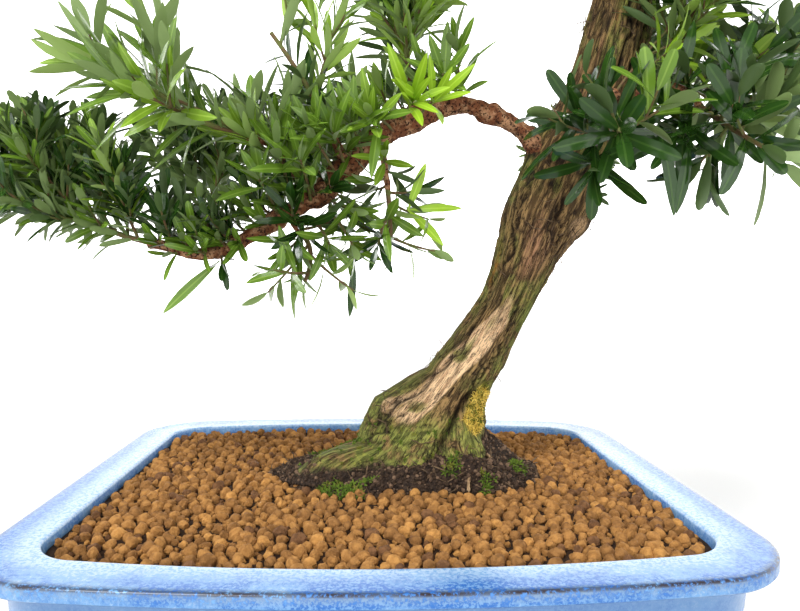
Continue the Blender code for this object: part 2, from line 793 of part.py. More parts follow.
def leaf_fits(mass, leaf, blocked, grown):
    """Whether a leaf stays in its mass's space, clear of the tree and of the mass's other shapes."""
    root, direction, facing, length = leaf
    if not inside(mass, root + direction * length):
        return False
    guard = leaf_shape(root - facing * CLEARANCE, direction, facing, length + CLEARANCE,
                       LEAF_WIDTH + 2 * CLEARANCE, LEAF_THICKNESS + 2 * CLEARANCE)
    if tree_of(guard).overlap(blocked):
        return False
    outer = leaf_shape(root + direction * length * LEAF_NECK, direction, facing,
                       length * (1 - LEAF_NECK), LEAF_WIDTH, LEAF_THICKNESS + CLEARANCE)
    outer_tree = tree_of(outer)
    return not any(outer_tree.overlap(tree) for tree in grown)


def grow_mass(mass, lines, obstacles):
    """Shapes of a mass's stem, shoots and leaves, less those that leave its space or touch."""
    rng = random.Random(mass.seed)
    blocked = tree_of(joined(obstacles))
    stem = stem_of(mass, lines)
    paths = grow_shoots(mass, stem, blocked, rng)
    shapes = [twig_shape(stem, STEM_RADIUS, STEM_END_RADIUS, lines[mass.limb].directions[-1])]
    shapes += [twig_shape(path, SHOOT_RADIUS, SHOOT_RADIUS * SHOOT_TAPER) for path in paths]
    grown = [tree_of(shape) for shape in shapes]
    for path in [*paths, stem]:
        for root, axis, outward, opening in leaf_places(path, rng):
            length = LEAF_LENGTH * rng.uniform(*LEAF_SIZES)
            for extra in LEAF_TRIES:
                angle = opening + math.radians(extra)
                direction = axis * math.cos(angle) + outward * math.sin(angle)
                facing = axis * math.sin(angle) - outward * math.cos(angle)
                leaf = (root, direction, facing, length)
                if leaf_fits(mass, leaf, blocked, grown):
                    shapes.append(leaf_shape(*leaf, LEAF_WIDTH, LEAF_THICKNESS))
                    grown.append(tree_of(shapes[-1]))
                    break
    return shapes


def mesh_of(name, shape):
    mesh = bpy.data.meshes.new(name)
    mesh.from_pydata(shape[0], [], shape[1])
    return mesh


def fuse(name, shapes, solver):
    """Joins the shapes into one body with a single union on a collection."""
    group = bpy.data.collections.new(name + "_pieces")
    bpy.context.scene.collection.children.link(group)
    for index, shape in enumerate(shapes[1:]):
        piece = bpy.data.objects.new(f"{name}_{index}", mesh_of("piece", shape))
        group.objects.link(piece)
    obj = add_object(name, mesh_of(name, shapes[0]), LEAF)
    boolean = obj.modifiers.new("union", "BOOLEAN")
    boolean.operation = "UNION"
    boolean.solver = solver
    boolean.operand_type = "COLLECTION"
    boolean.collection = group
    apply_modifiers(obj)
    for piece in list(group.objects):
        mesh = piece.data
        bpy.data.objects.remove(piece, do_unlink=True)
        bpy.data.meshes.remove(mesh)
    bpy.data.collections.remove(group)
    return obj


def is_closed(mesh):
    shape = bmesh.new()
    shape.from_mesh(mesh)
    closed = all(len(edge.link_faces) == 2 for edge in shape.edges)
    shape.free()
    return closed


def fuse_soundly(name, shapes):
    """Joins the shapes into one closed body, with fewer leaves if neither solver closes it."""
    while True:
        for solver in ("EXACT", "MANIFOLD"):
            obj = fuse(name, shapes, solver)
            if is_closed(obj.data) and len(obj.data.polygons) > len(shapes) * 4:
                return obj
            bpy.data.objects.remove(obj, do_unlink=True)
        shapes = shapes[:-1]


def build_foliage(lines, obstacles):
    for mass in MASSES:
        obj = fuse_soundly(mass.name, grow_mass(mass, lines, obstacles))
        obstacles.append(shape_of_object(obj))


def main():
    clear_scene()
    pot = build_pot()
    soil = build_soil()
    lines = {"trunk": trunk_line()}
    trunk_mesh = mesh_from_rings("trunk", trunk_rings(lines["trunk"]))
    trunk = add_object("trunk", trunk_mesh, BARK, smooth_angle=60)
    build_limbs(lines)
    limbs = [bpy.data.objects[limb.name] for limb in LIMBS]
    build_foliage(lines, [shape_of_object(obj) for obj in (pot, soil, trunk, *limbs)])


main()
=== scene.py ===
"""Looks of a potted podocarpus bonsai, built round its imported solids.

Metres, +Z up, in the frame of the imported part: the origin is the middle of the pot's underside,
+X runs along the pot's long side and -Y faces the viewer. Heights of the tree are above the rim.
"""

import json
import logging
import math
import random
from dataclasses import dataclass, field
from enum import Enum
from typing import Any, Callable, Iterable, Sequence

import bmesh
import bpy
import numpy as np
from mathutils import Matrix, Quaternion, Vector
from mathutils.bvhtree import BVHTree

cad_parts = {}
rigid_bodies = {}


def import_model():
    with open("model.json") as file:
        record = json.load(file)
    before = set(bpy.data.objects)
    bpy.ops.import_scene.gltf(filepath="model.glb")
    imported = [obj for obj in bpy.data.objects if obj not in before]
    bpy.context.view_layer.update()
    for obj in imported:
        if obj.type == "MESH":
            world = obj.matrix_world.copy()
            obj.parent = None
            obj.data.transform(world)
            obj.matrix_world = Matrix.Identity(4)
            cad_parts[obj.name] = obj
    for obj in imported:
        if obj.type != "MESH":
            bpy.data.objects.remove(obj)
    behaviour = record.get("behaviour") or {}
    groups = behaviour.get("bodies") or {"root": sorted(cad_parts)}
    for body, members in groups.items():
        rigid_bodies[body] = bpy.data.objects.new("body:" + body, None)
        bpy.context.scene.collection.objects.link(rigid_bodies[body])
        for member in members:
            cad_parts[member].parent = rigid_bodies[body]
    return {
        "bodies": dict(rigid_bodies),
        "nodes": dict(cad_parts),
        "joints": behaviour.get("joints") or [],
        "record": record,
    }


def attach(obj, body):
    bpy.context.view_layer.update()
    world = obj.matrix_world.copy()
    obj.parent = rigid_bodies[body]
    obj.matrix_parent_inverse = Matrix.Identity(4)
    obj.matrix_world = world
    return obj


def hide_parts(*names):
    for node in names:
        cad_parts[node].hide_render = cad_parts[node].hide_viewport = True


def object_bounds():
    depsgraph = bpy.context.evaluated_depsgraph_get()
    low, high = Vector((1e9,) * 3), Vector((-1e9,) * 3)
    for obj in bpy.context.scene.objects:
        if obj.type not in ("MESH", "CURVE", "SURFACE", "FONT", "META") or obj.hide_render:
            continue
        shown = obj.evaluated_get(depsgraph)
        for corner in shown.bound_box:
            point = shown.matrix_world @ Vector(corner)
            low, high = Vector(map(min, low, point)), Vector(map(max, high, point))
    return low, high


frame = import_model()
SOLID_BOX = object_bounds()
LOG = logging.getLogger("podocarpus")
BODY = "root"
GAP = 0.0003
POT_HEIGHT = 0.098
RIM = POT_HEIGHT
SOIL_DEPTH_AT_TRUNK = 0.0008
GOLDEN_ANGLE = math.pi * (3 - math.sqrt(5))
# Trunk: centre (x, y), height above the rim and radius at each station, from the foot to the tip.
TRUNK_STATIONS = (
    ((0.034, 0.012), -0.0008, 0.0345),
    ((0.037, 0.012), 0.0140, 0.0305),
    ((0.039, 0.012), 0.0280, 0.0275),
    ((0.042, 0.011), 0.0420, 0.0245),
    ((0.050, 0.010), 0.0600, 0.0222),
    ((0.061, 0.010), 0.0760, 0.0192),
    ((0.077, 0.009), 0.1040, 0.0167),
    ((0.090, 0.009), 0.1350, 0.0196),
    ((0.100, 0.008), 0.1620, 0.0232),
    ((0.112, 0.007), 0.1900, 0.0222),
    ((0.129, 0.006), 0.2240, 0.0206),
    ((0.143, 0.005), 0.2700, 0.0204),
    ((0.149, 0.004), 0.3060, 0.0186),
    ((0.139, 0.003), 0.3400, 0.0160),
    ((0.116, 0.002), 0.3700, 0.0133),
    ((0.090, 0.001), 0.3940, 0.0104),
    ((0.072, 0.000), 0.4180, 0.0074),
    ((0.068, 0.000), 0.4400, 0.0046),
)
UPRIGHT_BELOW = 0.045
TILTED_ABOVE = 0.090


@dataclass(frozen=True)
class Root:
    """A root that swells out of the trunk's foot: its bearing, reach, top above the soil and width.

    It keeps its full reach up to the level, and falls away between the level and the top.
    """

    bearing: float
    reach: float
    height: float
    spread: float
    fall: float = 1.2
    level: float = 0.0


ROOTS = (
    Root(bearing=186, reach=0.0235, height=0.0615, spread=30, fall=0.80, level=0.0465),
    Root(bearing=192, reach=0.0390, height=0.0185, spread=15, fall=0.6),
    Root(bearing=-4, reach=0.029, height=0.025, spread=24, fall=1.0),
    Root(bearing=-62, reach=0.012, height=0.039, spread=22),
    Root(bearing=232, reach=0.010, height=0.033, spread=20),
    Root(bearing=132, reach=0.026, height=0.039, spread=22),
    Root(bearing=62, reach=0.018, height=0.033, spread=22),
)


@dataclass(frozen=True)
class Knot:
    """A round swelling on the trunk: its height above the rim, bearing, size and width."""

    height: float
    bearing: float
    rise: float
    spread: float
    length: float


KNOTS = (
    Knot(height=0.166, bearing=-8, rise=0.0055, spread=30, length=0.013),
    Knot(height=0.196, bearing=190, rise=0.0040, spread=32, length=0.014),
    Knot(height=0.226, bearing=-20, rise=0.0030, spread=34, length=0.012),
)


@dataclass(frozen=True)
class Limb:
    """A tapering limb. A side limb starts inside its parent; a following one at its parent's tip."""

    name: str
    parent: str
    route: tuple
    start_radius: float
    end_radius: float
    follows: bool = False


LIMBS = (
    Limb("left_bough_inner", "trunk",
         ((0.108, 0.006, 0.188), (0.093, 0.000, 0.202), (0.080, -0.003, 0.213),
          (0.062, -0.006, 0.220), (0.047, -0.008, 0.2245), (0.036, -0.009, 0.2225)),
         0.0066, 0.0056),
    Limb("left_bough_middle", "left_bough_inner",
         ((0.027, -0.010, 0.219), (0.009, -0.012, 0.210), (-0.008, -0.016, 0.200),
          (-0.020, -0.018, 0.186), (-0.031, -0.020, 0.175), (-0.035, -0.022, 0.167)),
         0.0064, 0.0062, follows=True),
    Limb("left_bough_outer", "left_bough_middle",
         ((-0.048, -0.024, 0.161), (-0.064, -0.026, 0.151), (-0.080, -0.028, 0.141),
          (-0.092, -0.030, 0.134)),
         0.0048, 0.0038, follows=True),
    Limb("left_bough_tip", "left_bough_outer",
         ((-0.106, -0.032, 0.133), (-0.118, -0.033, 0.136), (-0.132, -0.033, 0.139)),
         0.0036, 0.0030, follows=True),
    Limb("left_front_limb", "left_bough_outer",
         ((-0.046, -0.0235, 0.162), (-0.050, -0.036, 0.178), (-0.060, -0.049, 0.191),
          (-0.074, -0.058, 0.193)),
         0.0036, 0.0026),
    Limb("left_rise_limb", "left_bough_outer",
         ((-0.086, -0.029, 0.138), (-0.092, -0.018, 0.150), (-0.098, -0.008, 0.160)),
         0.0034, 0.0026),
    Limb("left_middle_limb", "left_bough_middle",
         ((-0.022, -0.0185, 0.184), (-0.027, -0.031, 0.194), (-0.032, -0.040, 0.204)),
         0.0036, 0.0027),
    Limb("left_inner_limb", "left_bough_middle",
         ((0.019, -0.011, 0.215), (0.018, -0.014, 0.228), (0.014, -0.018, 0.238)),
         0.0036, 0.0027),
    Limb("left_back_limb", "left_bough_inner",
         ((0.050, -0.007, 0.224), (0.036, 0.014, 0.224), (0.014, 0.036, 0.220),
          (-0.006, 0.050, 0.215)),
         0.0044, 0.0030),
    Limb("hanging_limb", "left_bough_middle",
         ((-0.004, -0.015, 0.202), (0.000, -0.019, 0.186), (0.002, -0.019, 0.170)),
         0.0032, 0.0024),
    Limb("under_limb", "left_bough_outer",
         ((-0.054, -0.025, 0.157), (-0.050, -0.030, 0.148), (-0.045, -0.032, 0.143)),
         0.0030, 0.0024),
    Limb("right_bough", "trunk",
         ((0.130, 0.005, 0.222), (0.150, 0.000, 0.230), (0.167, -0.005, 0.235),
          (0.182, -0.008, 0.237)),
         0.0076, 0.0044),
    Limb("right_front_limb", "trunk",
         ((0.120, 0.006, 0.204), (0.122, -0.016, 0.205), (0.124, -0.029, 0.203)),
         0.0050, 0.0034),
    Limb("right_low_limb", "right_bough",
         ((0.174, -0.0065, 0.2362), (0.178, -0.021, 0.229), (0.181, -0.032, 0.220)),
         0.0036, 0.0027),
    Limb("right_top_limb", "right_bough",
         ((0.161, -0.003, 0.233), (0.164, -0.016, 0.241), (0.166, -0.024, 0.251)),
         0.0034, 0.0026),
    Limb("back_low_limb", "trunk",
         ((0.114, 0.007, 0.198), (0.124, 0.032, 0.206), (0.134, 0.052, 0.209)),
         0.0044, 0.0030),
    Limb("right_back_limb", "trunk",
         ((0.140, 0.005, 0.252), (0.150, 0.030, 0.260), (0.162, 0.050, 0.263)),
         0.0058, 0.0036),
    Limb("cut_stub", "trunk",
         ((0.133, 0.005, 0.225), (0.1335, -0.012, 0.228), (0.133, -0.021, 0.229)),
         0.0048, 0.0042),
    Limb("upper_left_bough", "trunk",
         ((0.146, 0.004, 0.324), (0.112, 0.016, 0.338), (0.070, 0.026, 0.343),
          (0.034, 0.032, 0.338)),
         0.0078, 0.0042),
    Limb("upper_left_front_limb", "upper_left_bough",
         ((0.084, 0.023, 0.342), (0.068, 0.000, 0.350), (0.056, -0.018, 0.353)),
         0.0040, 0.0030),
    Limb("upper_right_bough", "trunk",
         ((0.148, 0.004, 0.300), (0.172, -0.004, 0.318), (0.192, -0.009, 0.326)),
         0.0070, 0.0042),
    Limb("upper_back_bough", "trunk",
         ((0.130, 0.003, 0.353), (0.120, 0.030, 0.366), (0.108, 0.054, 0.370)),
         0.0056, 0.0036),
    Limb("upper_front_bough", "trunk",
         ((0.142, 0.003, 0.334), (0.144, -0.022, 0.348), (0.141, -0.036, 0.352)),
         0.0054, 0.0036),
    Limb("apex_left_limb", "trunk",
         ((0.092, 0.001, 0.392), (0.066, 0.004, 0.402), (0.048, 0.005, 0.408)),
         0.0046, 0.0032),
    Limb("apex_right_limb", "trunk",
         ((0.108, 0.002, 0.378), (0.132, 0.006, 0.396), (0.146, 0.007, 0.402)),
         0.0046, 0.0032),
)


class ShaderTree:
    """One material's node tree, built step by step from its textures to its shader."""

    def __init__(self, name: str, roughness: float) -> None:
        """Starts a material with a plain roughness."""
        self.material = bpy.data.materials.new(name)
        self.material.use_nodes = True
        self.nodes = self.material.node_tree.nodes
        self.links = self.material.node_tree.links
        self.shader = self.nodes["Principled BSDF"]
        self.set("Roughness", roughness)

    def set(self, socket: str, value: Any) -> None:
        """Sets one of the shader's own sockets."""
        self.shader.inputs[socket].default_value = value

    def feed(self, source: Any, socket: str) -> None:
        """Links a texture to one of the shader's sockets."""
        self.links.new(source, self.shader.inputs[socket])

    def place(self) -> Any:
        """Coordinates on the object, in metres."""
        return self.nodes.new("ShaderNodeTexCoord").outputs["Object"]

    def flow(self) -> Any:
        """Coordinates that follow the grain of the piece, from its own attribute."""
        node = self.nodes.new("ShaderNodeAttribute")
        node.attribute_name = "flow"
        return node.outputs["Vector"]

    def attribute(self, name: str) -> Any:
        """The value of a point attribute of the mesh."""
        node = self.nodes.new("ShaderNodeAttribute")
        node.attribute_name = name
        return node.outputs["Fac"]

    def noise(self, place: Any, scale: float, detail: float = 4.0, rough: float = 0.6) -> Any:
        """A cloudy pattern between 0 and 1."""
        node = self.nodes.new("ShaderNodeTexNoise")
        node.inputs["Scale"].default_value = scale
        node.inputs["Detail"].default_value = detail
        node.inputs["Roughness"].default_value = rough
        self.links.new(place, node.inputs["Vector"])
        return node.outputs["Fac"]

    def cells(self, place: Any, scale: float) -> Any:
        """A pattern of rounded cells, 0 in their middles."""
        node = self.nodes.new("ShaderNodeTexVoronoi")
        node.inputs["Scale"].default_value = scale
        self.links.new(place, node.inputs["Vector"])
        return node.outputs["Distance"]

    def window(self, value: Any, low: float, high: float) -> Any:
        """A value spread from 0 at the low limit to 1 at the high one, smoothly."""
        node = self.nodes.new("ShaderNodeMapRange")
        node.interpolation_type = "SMOOTHSTEP"
        node.inputs["From Min"].default_value = low
        node.inputs["From Max"].default_value = high
        self.links.new(value, node.inputs["Value"])
        return node.outputs["Result"]

    def seam(self, value: Any, middle: float, width: float) -> Any:
        """1 along the thin lines where a pattern passes a value, 0 away from them."""
        rising = self.window(value, middle - width, middle)
        return self.times(rising, self.window(value, middle + width, middle))

    def times(self, first: Any, second: Any) -> Any:
        """The product of two values."""
        node = self.nodes.new("ShaderNodeMath")
        node.operation = "MULTIPLY"
        self.links.new(first, node.inputs[0])
        self.links.new(second, node.inputs[1])
        return node.outputs["Value"]

    def add(self, first: Any, second: Any) -> Any:
        """The sum of two values."""
        node = self.nodes.new("ShaderNodeMath")
        self.links.new(first, node.inputs[0])
        self.links.new(second, node.inputs[1])
        return node.outputs["Value"]

    def blend(self, share: Any, first: Any, second: Any) -> Any:
        """A colour that goes from the first to the second by a share.

        Args:
            share: Socket of the share, from 0 to 1.
            first: Colour at 0, as a socket or three numbers.
            second: Colour at 1, as a socket or three numbers.

        Returns:
            The mixed colour's socket.
        """
        node = self.nodes.new("ShaderNodeMix")
        node.data_type = "RGBA"
        self.links.new(share, node.inputs["Factor"])
        for colour, socket in ((first, node.inputs[6]), (second, node.inputs[7])):
            if isinstance(colour, tuple):
                socket.default_value = (*colour, 1.0)
            else:
                self.links.new(colour, socket)
        return node.outputs[2]

    def bump(self, height: Any, strength: float, distance: float) -> None:
        """Roughens the surface by a height pattern."""
        node = self.nodes.new("ShaderNodeBump")
        node.inputs["Strength"].default_value = strength
        node.inputs["Distance"].default_value = distance
        self.links.new(height, node.inputs["Height"])
        self.feed(node.outputs["Normal"], "Normal")


def plain_material(name: str, colour: tuple[float, float, float], roughness: float) -> Any:
    """A material of one colour, made once and then found again by its name."""
    known = bpy.data.materials.get(name)
    if known is not None:
        return known
    tree = ShaderTree(name, roughness)
    tree.set("Base Color", (*colour, 1.0))
    return tree.material


@dataclass(frozen=True)
class GlazeFinish:
    """Mottled blue glaze that thins to white by the rim's inner edge and to clay at its outer one, with painted shade
    on the body under the lip.
    """

    white: tuple[float, float, float] = (0.42, 0.56, 0.72)
    sky: tuple[float, float, float] = (0.150, 0.330, 0.600)
    cobalt: tuple[float, float, float] = (0.010, 0.118, 0.450)
    # A greyer, darker blue for the body under the lip: painted shade.
    deep: tuple[float, float, float] = (0.130, 0.230, 0.400)
    clay: tuple[float, float, float] = (0.026, 0.013, 0.010)

    def material(self) -> Any:
        """Builds the glaze."""
        tree = ShaderTree("blue_glaze", 0.24)
        tree.set("IOR", 1.36)
        place = tree.place()
        cloud = tree.noise(place, 38.0, 7.0, 0.66)
        speck = tree.noise(place, 260.0, 5.0, 0.7)
        fine = tree.noise(place, 640.0, 4.0, 0.72)
        light = tree.blend(tree.window(fine, 0.50, 0.64), self.sky, self.white)
        dark = tree.blend(tree.window(fine, 0.44, 0.60), self.cobalt, self.sky)
        depth = tree.add(tree.add(cloud, tree.times(speck, fine)), tree.attribute("pool"))
        mottled = tree.blend(tree.window(depth, 0.62, 0.80), light, dark)
        pale = tree.blend(tree.window(fine, 0.54, 0.40), self.white, self.sky)
        rim = tree.blend(tree.attribute("pale"), mottled, pale)
        # Below the lip the walls take the greyer blue as painted shade.
        walls = tree.blend(tree.attribute("low"), rim, self.deep)
        bare = tree.times(tree.attribute("clay"), tree.window(fine, 0.36, 0.52))
        tree.feed(tree.blend(bare, walls, self.clay), "Base Color")
        return tree.material


@dataclass(frozen=True)
class BarkFinish:
    """Fibrous bark: brown fibres, a bare tan strip, algae, moss, muck and ragged dark cracks, with painted shade in
    its hollows and a painted highlight on its ridges.
    """

    dark: tuple[float, float, float] = (0.014, 0.009, 0.006)
    brown: tuple[float, float, float] = (0.074, 0.044, 0.017)
    tan: tuple[float, float, float] = (0.330, 0.205, 0.080)
    rosy: tuple[float, float, float] = (0.520, 0.310, 0.165)
    pink: tuple[float, float, float] = (0.840, 0.580, 0.335)
    rust: tuple[float, float, float] = (0.130, 0.062, 0.028)
    red: tuple[float, float, float] = (0.430, 0.230, 0.120)
    olive: tuple[float, float, float] = (0.104, 0.124, 0.026)
    green: tuple[float, float, float] = (0.290, 0.310, 0.070)
    lime: tuple[float, float, float] = (0.330, 0.340, 0.060)
    yellow: tuple[float, float, float] = (0.440, 0.310, 0.045)
    orange: tuple[float, float, float] = (0.430, 0.190, 0.030)
    cut: tuple[float, float, float] = (0.560, 0.360, 0.190)
    muck: tuple[float, float, float] = (0.045, 0.030, 0.022)
    wrap: float = 0.022
    stretch: float = 0.11

    def material(self) -> Any:
        """Builds the bark, whose fibres follow the trunk."""
        tree = ShaderTree("trunk_bark", 0.86)
        tree.set("Specular IOR Level", 0.2)
        flow = tree.flow()
        spots = tree.place()
        fibre = tree.noise(flow, 420.0, 6.0, 0.70)
        strand = tree.noise(flow, 900.0, 5.0, 0.66)
        hair = tree.noise(flow, 2200.0, 4.0, 0.65)
        broad = tree.noise(flow, 150.0, 4.0, 0.6)
        cloud = tree.noise(spots, 95.0, 6.0, 0.68)
        speck = tree.noise(spots, 420.0, 4.0, 0.7)
        wood = tree.blend(tree.window(fibre, 0.45, 0.57), self.brown, self.tan)
        ruddy = tree.blend(tree.window(strand, 0.42, 0.58), self.rust, self.red)
        wood = tree.blend(tree.times(tree.attribute("red"), tree.window(broad, 0.38, 0.56)), wood, ruddy)
        bare = tree.blend(tree.window(strand, 0.38, 0.54), self.rosy, self.pink)
        wood = tree.blend(tree.attribute("bare"), wood, bare)
        wood = tree.blend(tree.attribute("orange"), wood, self.orange)
        wood = tree.blend(tree.attribute("pale"), wood, self.cut)
        # Ridges are lightened towards tan as a painted highlight.
        wood = tree.blend(tree.times(tree.attribute("light"), tree.window(strand, 0.42, 0.60)), wood, self.tan)
        green = tree.blend(tree.window(strand, 0.38, 0.64), self.olive, self.green)
        green = tree.blend(tree.window(speck, 0.54, 0.66), green, self.lime)
        wood = tree.blend(tree.times(tree.attribute("algae"), tree.window(cloud, 0.36, 0.54)), wood, green)
        wood = tree.blend(tree.times(tree.attribute("moss"), tree.window(speck, 0.34, 0.50)), wood, self.yellow)
        wood = tree.blend(tree.attribute("muck"), wood, self.muck)
        seams = tree.add(tree.seam(fibre, 0.50, 0.028), tree.seam(strand, 0.47, 0.032))
        wood = tree.blend(tree.times(seams, tree.window(hair, 0.38, 0.54)), wood, self.dark)
        # The cracks turn dark, and so do the hollows, as painted shade.
        cracks_and_shade = tree.times(tree.attribute("crack"), tree.window(hair, 0.26, 0.46))
        tree.feed(tree.blend(cracks_and_shade, wood, self.dark), "Base Color")
        tree.bump(tree.add(tree.add(fibre, strand), hair), 0.9, 0.0016)
        return tree.material


@dataclass(frozen=True)
class BoughFinish:
    """Rough reddish bark of the boughs, with grey flakes and dark cracks."""

    dark: tuple[float, float, float] = (0.030, 0.014, 0.009)
    red: tuple[float, float, float] = (0.210, 0.074, 0.032)
    tan: tuple[float, float, float] = (0.460, 0.250, 0.130)

    def material(self) -> Any:
        """Builds the bark from two sizes of cloud."""
        tree = ShaderTree("bough_bark_looks", 0.86)
        tree.set("Specular IOR Level", 0.2)
        place = tree.place()
        patch = tree.noise(place, 160.0, 5.0, 0.62)
        grain = tree.noise(place, 620.0, 4.0, 0.65)
        bark = tree.blend(tree.window(patch, 0.44, 0.62), self.red, self.tan)
        bark = tree.blend(tree.window(grain, 0.50, 0.40), bark, self.dark)
        tree.feed(tree.blend(tree.attribute("crack"), bark, self.dark), "Base Color")
        tree.bump(grain, 0.5, 0.0006)
        return tree.material


class LeafSurface(Enum):
    """The surfaces of a leaf."""

    FACE = 0
    MIDRIB = 1
    UNDERSIDE = 2


class LeafTone(Enum):
    """The tones of a spray, from old to newly opened: face, midrib, underside and roughness."""

    DARK = ((0.016, 0.050, 0.006), (0.034, 0.082, 0.012), (0.070, 0.120, 0.034), 0.15)
    GREEN = ((0.104, 0.196, 0.018), (0.180, 0.290, 0.040), (0.185, 0.268, 0.088), 0.20)
    BRIGHT = ((0.180, 0.310, 0.024), (0.270, 0.420, 0.050), (0.250, 0.360, 0.095), 0.26)
    YOUNG = ((0.270, 0.450, 0.022), (0.370, 0.560, 0.050), (0.320, 0.480, 0.085), 0.28)

    def material(self, surface: LeafSurface) -> Any:
        """The tone's plain glossy material on one surface of a leaf."""
        name = f"leaf_{self.name.lower()}_{surface.name.lower()}"
        known = bpy.data.materials.get(name)
        if known is not None:
            return known
        gloss = self.value[3] + (0.30 if surface is LeafSurface.UNDERSIDE else 0.0)
        material = plain_material(name, self.value[surface.value], gloss)
        material.node_tree.nodes["Principled BSDF"].inputs["Specular IOR Level"].default_value = 0.36
        material.node_tree.nodes["Principled BSDF"].inputs["Specular IOR Level"].default_value = 0.36
        return material


@dataclass(frozen=True)
class TwigFinish:
    """Young green-brown bark of the twigs."""

    green: tuple[float, float, float] = (0.120, 0.140, 0.030)
    brown: tuple[float, float, float] = (0.140, 0.075, 0.032)

    def material(self) -> Any:
        """Builds the bark from a cloud of both colours."""
        tree = ShaderTree("twig_bark", 0.8)
        cloud = tree.noise(tree.place(), 180.0, 4.0, 0.6)
        tree.feed(tree.blend(tree.window(cloud, 0.38, 0.62), self.green, self.brown), "Base Color")
        return tree.material


@dataclass(frozen=True)
class GrainFinish:
    """Matt baked clay of one tint, with small darker pores."""

    name: str
    light: tuple[float, float, float]
    dark: tuple[float, float, float]

    def material(self) -> Any:
        """Builds the clay."""
        tree = ShaderTree(self.name, 0.93)
        tree.set("Specular IOR Level", 0.2)
        place = tree.place()
        cloud = tree.noise(place, 300.0, 4.0, 0.6)
        tree.feed(tree.blend(tree.window(cloud, 0.36, 0.64), self.dark, self.light), "Base Color")
        tree.bump(tree.noise(place, 1100.0, 4.0, 0.65), 0.9, 0.0009)
        return tree.material


def link_mesh(name: str, mesh: Any, materials: Iterable[Any] = ()) -> Any:
    """Puts a mesh in the scene as an object at the origin."""
    for material in materials:
        mesh.materials.append(material)
    obj = bpy.data.objects.new(name, mesh)
    bpy.context.scene.collection.objects.link(obj)
    return obj


def mesh_of_quads(name: str, points: np.ndarray, faces: np.ndarray, smooth: bool = True) -> Any:
    """A mesh from an array of points and an array of four-cornered faces."""
    mesh = bpy.data.meshes.new(name)
    mesh.vertices.add(len(points))
    mesh.vertices.foreach_set("co", points.astype(np.float32).ravel())
    mesh.loops.add(faces.size)
    mesh.loops.foreach_set("vertex_index", faces.astype(np.int32).ravel())
    mesh.polygons.add(len(faces))
    mesh.polygons.foreach_set("loop_start", np.arange(0, faces.size, faces.shape[1], dtype=np.int32))
    mesh.update(calc_edges=True)
    mesh.polygons.foreach_set("use_smooth", np.full(len(faces), smooth))
    mesh.validate()
    return mesh


def dress(piece: Any, slot: str, *nodes: str) -> Any:
    """Rides a piece on the body and hides the nodes that it stands for."""
    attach(piece, BODY)
    if nodes:
        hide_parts(*nodes)
    LOG.info("%s: %d faces", piece.name, len(piece.data.polygons))
    return piece


def smooth_step(value: Any, low: float, high: float) -> Any:
    """0 below the low limit, 1 above the high one and a smooth curve between, for numbers or arrays."""
    share = np.clip((value - low) / (high - low), 0.0, 1.0)
    return share * share * (3 - 2 * share)


def bell(value: Any, middle: Any, width: float) -> Any:
    """A smooth hump of height 1 round the middle."""
    return np.exp(-(((value - middle) / width) ** 2))


def wave_field(around: np.ndarray, along: np.ndarray, cells: tuple[int, int], seed: int) -> np.ndarray:
    """Smooth random heights from -1 to 1 on a wall that closes on itself.

    Args:
        around: Turns round the wall, from 0 to 1, where 0 and 1 meet.
        along: Places along the wall, from 0 to 1.
        cells: How many random values there are around and along.
        seed: Seed of the random values.

    Returns:
        A height for each place.
    """
    columns, rows = cells
    table = np.random.default_rng(seed).random((rows + 3, columns)) * 2 - 1
    x = (around % 1.0) * columns
    y = np.clip(along, 0.0, 1.0) * rows
    left = np.floor(x).astype(int)
    low = np.floor(y).astype(int)
    u = x - left
    v = y - low
    u = u * u * (3 - 2 * u)
    v = v * v * (3 - 2 * v)
    left = left % columns
    right = (left + 1) % columns
    lower = table[low, left] * (1 - u) + table[low, right] * u
    upper = table[low + 1, left] * (1 - u) + table[low + 1, right] * u
    return lower * (1 - v) + upper * v


def angle_apart(first: Any, second: Any) -> Any:
    """The difference of two bearings in degrees, from -180 to 180."""
    return (first - second + 180) % 360 - 180


def spline(values: Sequence[Vector], count: int) -> list[Vector]:
    """Points on a smooth curve through the given vectors, evenly shared between them."""
    spans = len(values) - 1
    padded = [values[0] * 2 - values[1], *values, values[-1] * 2 - values[-2]]
    points = []
    for index in range(count):
        place = index / (count - 1) * spans
        span = min(int(place), spans - 1)
        t = place - span
        a, b, c, d = padded[span:span + 4]
        points.append(0.5 * ((2 * b) + (c - a) * t + (2 * a - 5 * b + 4 * c - d) * t * t
                             + (3 * b - a - 3 * c + d) * t ** 3))
    return points


def directions_along(points: Sequence[Vector]) -> list[Vector]:
    """The direction of a line at each of its points."""
    found = []
    for index in range(len(points)):
        before = points[max(index - 1, 0)]
        after = points[min(index + 1, len(points) - 1)]
        found.append((after - before).normalized())
    return found


def frames_along(directions: Sequence[Vector], first_side: Vector) -> list[tuple[Vector, Vector]]:
    """Two side vectors at each point, turned as little as possible from one to the next."""
    side = (first_side - directions[0] * first_side.dot(directions[0])).normalized()
    frames = [(side, directions[0].cross(side))]
    for before, after in zip(directions, directions[1:]):
        side = before.rotation_difference(after) @ side
        side = (side - after * side.dot(after)).normalized()
        frames.append((side, after.cross(side)))
    return frames


def perpendicular(direction: Vector) -> Vector:
    """A level side vector of a direction, or any side of an upright one."""
    helper = Vector((0, 0, 1)) if abs(direction.z) < 0.8 else Vector((1, 0, 0))
    return (helper - direction * helper.dot(direction)).normalized()


def length_of(points: Sequence[Vector]) -> float:
    """The length of a line through points."""
    return sum((b - a).length for a, b in zip(points, points[1:]))


def rim_place(place: Sequence[float]) -> Vector:
    """A place whose height is given above the rim."""
    return Vector((place[0], place[1], RIM + place[2]))


@dataclass
class Tube:
    """A limb's centre line as points with their directions and radii."""

    points: list[Vector] = field(default_factory=list)
    directions: list[Vector] = field(default_factory=list)
    radii: list[float] = field(default_factory=list)


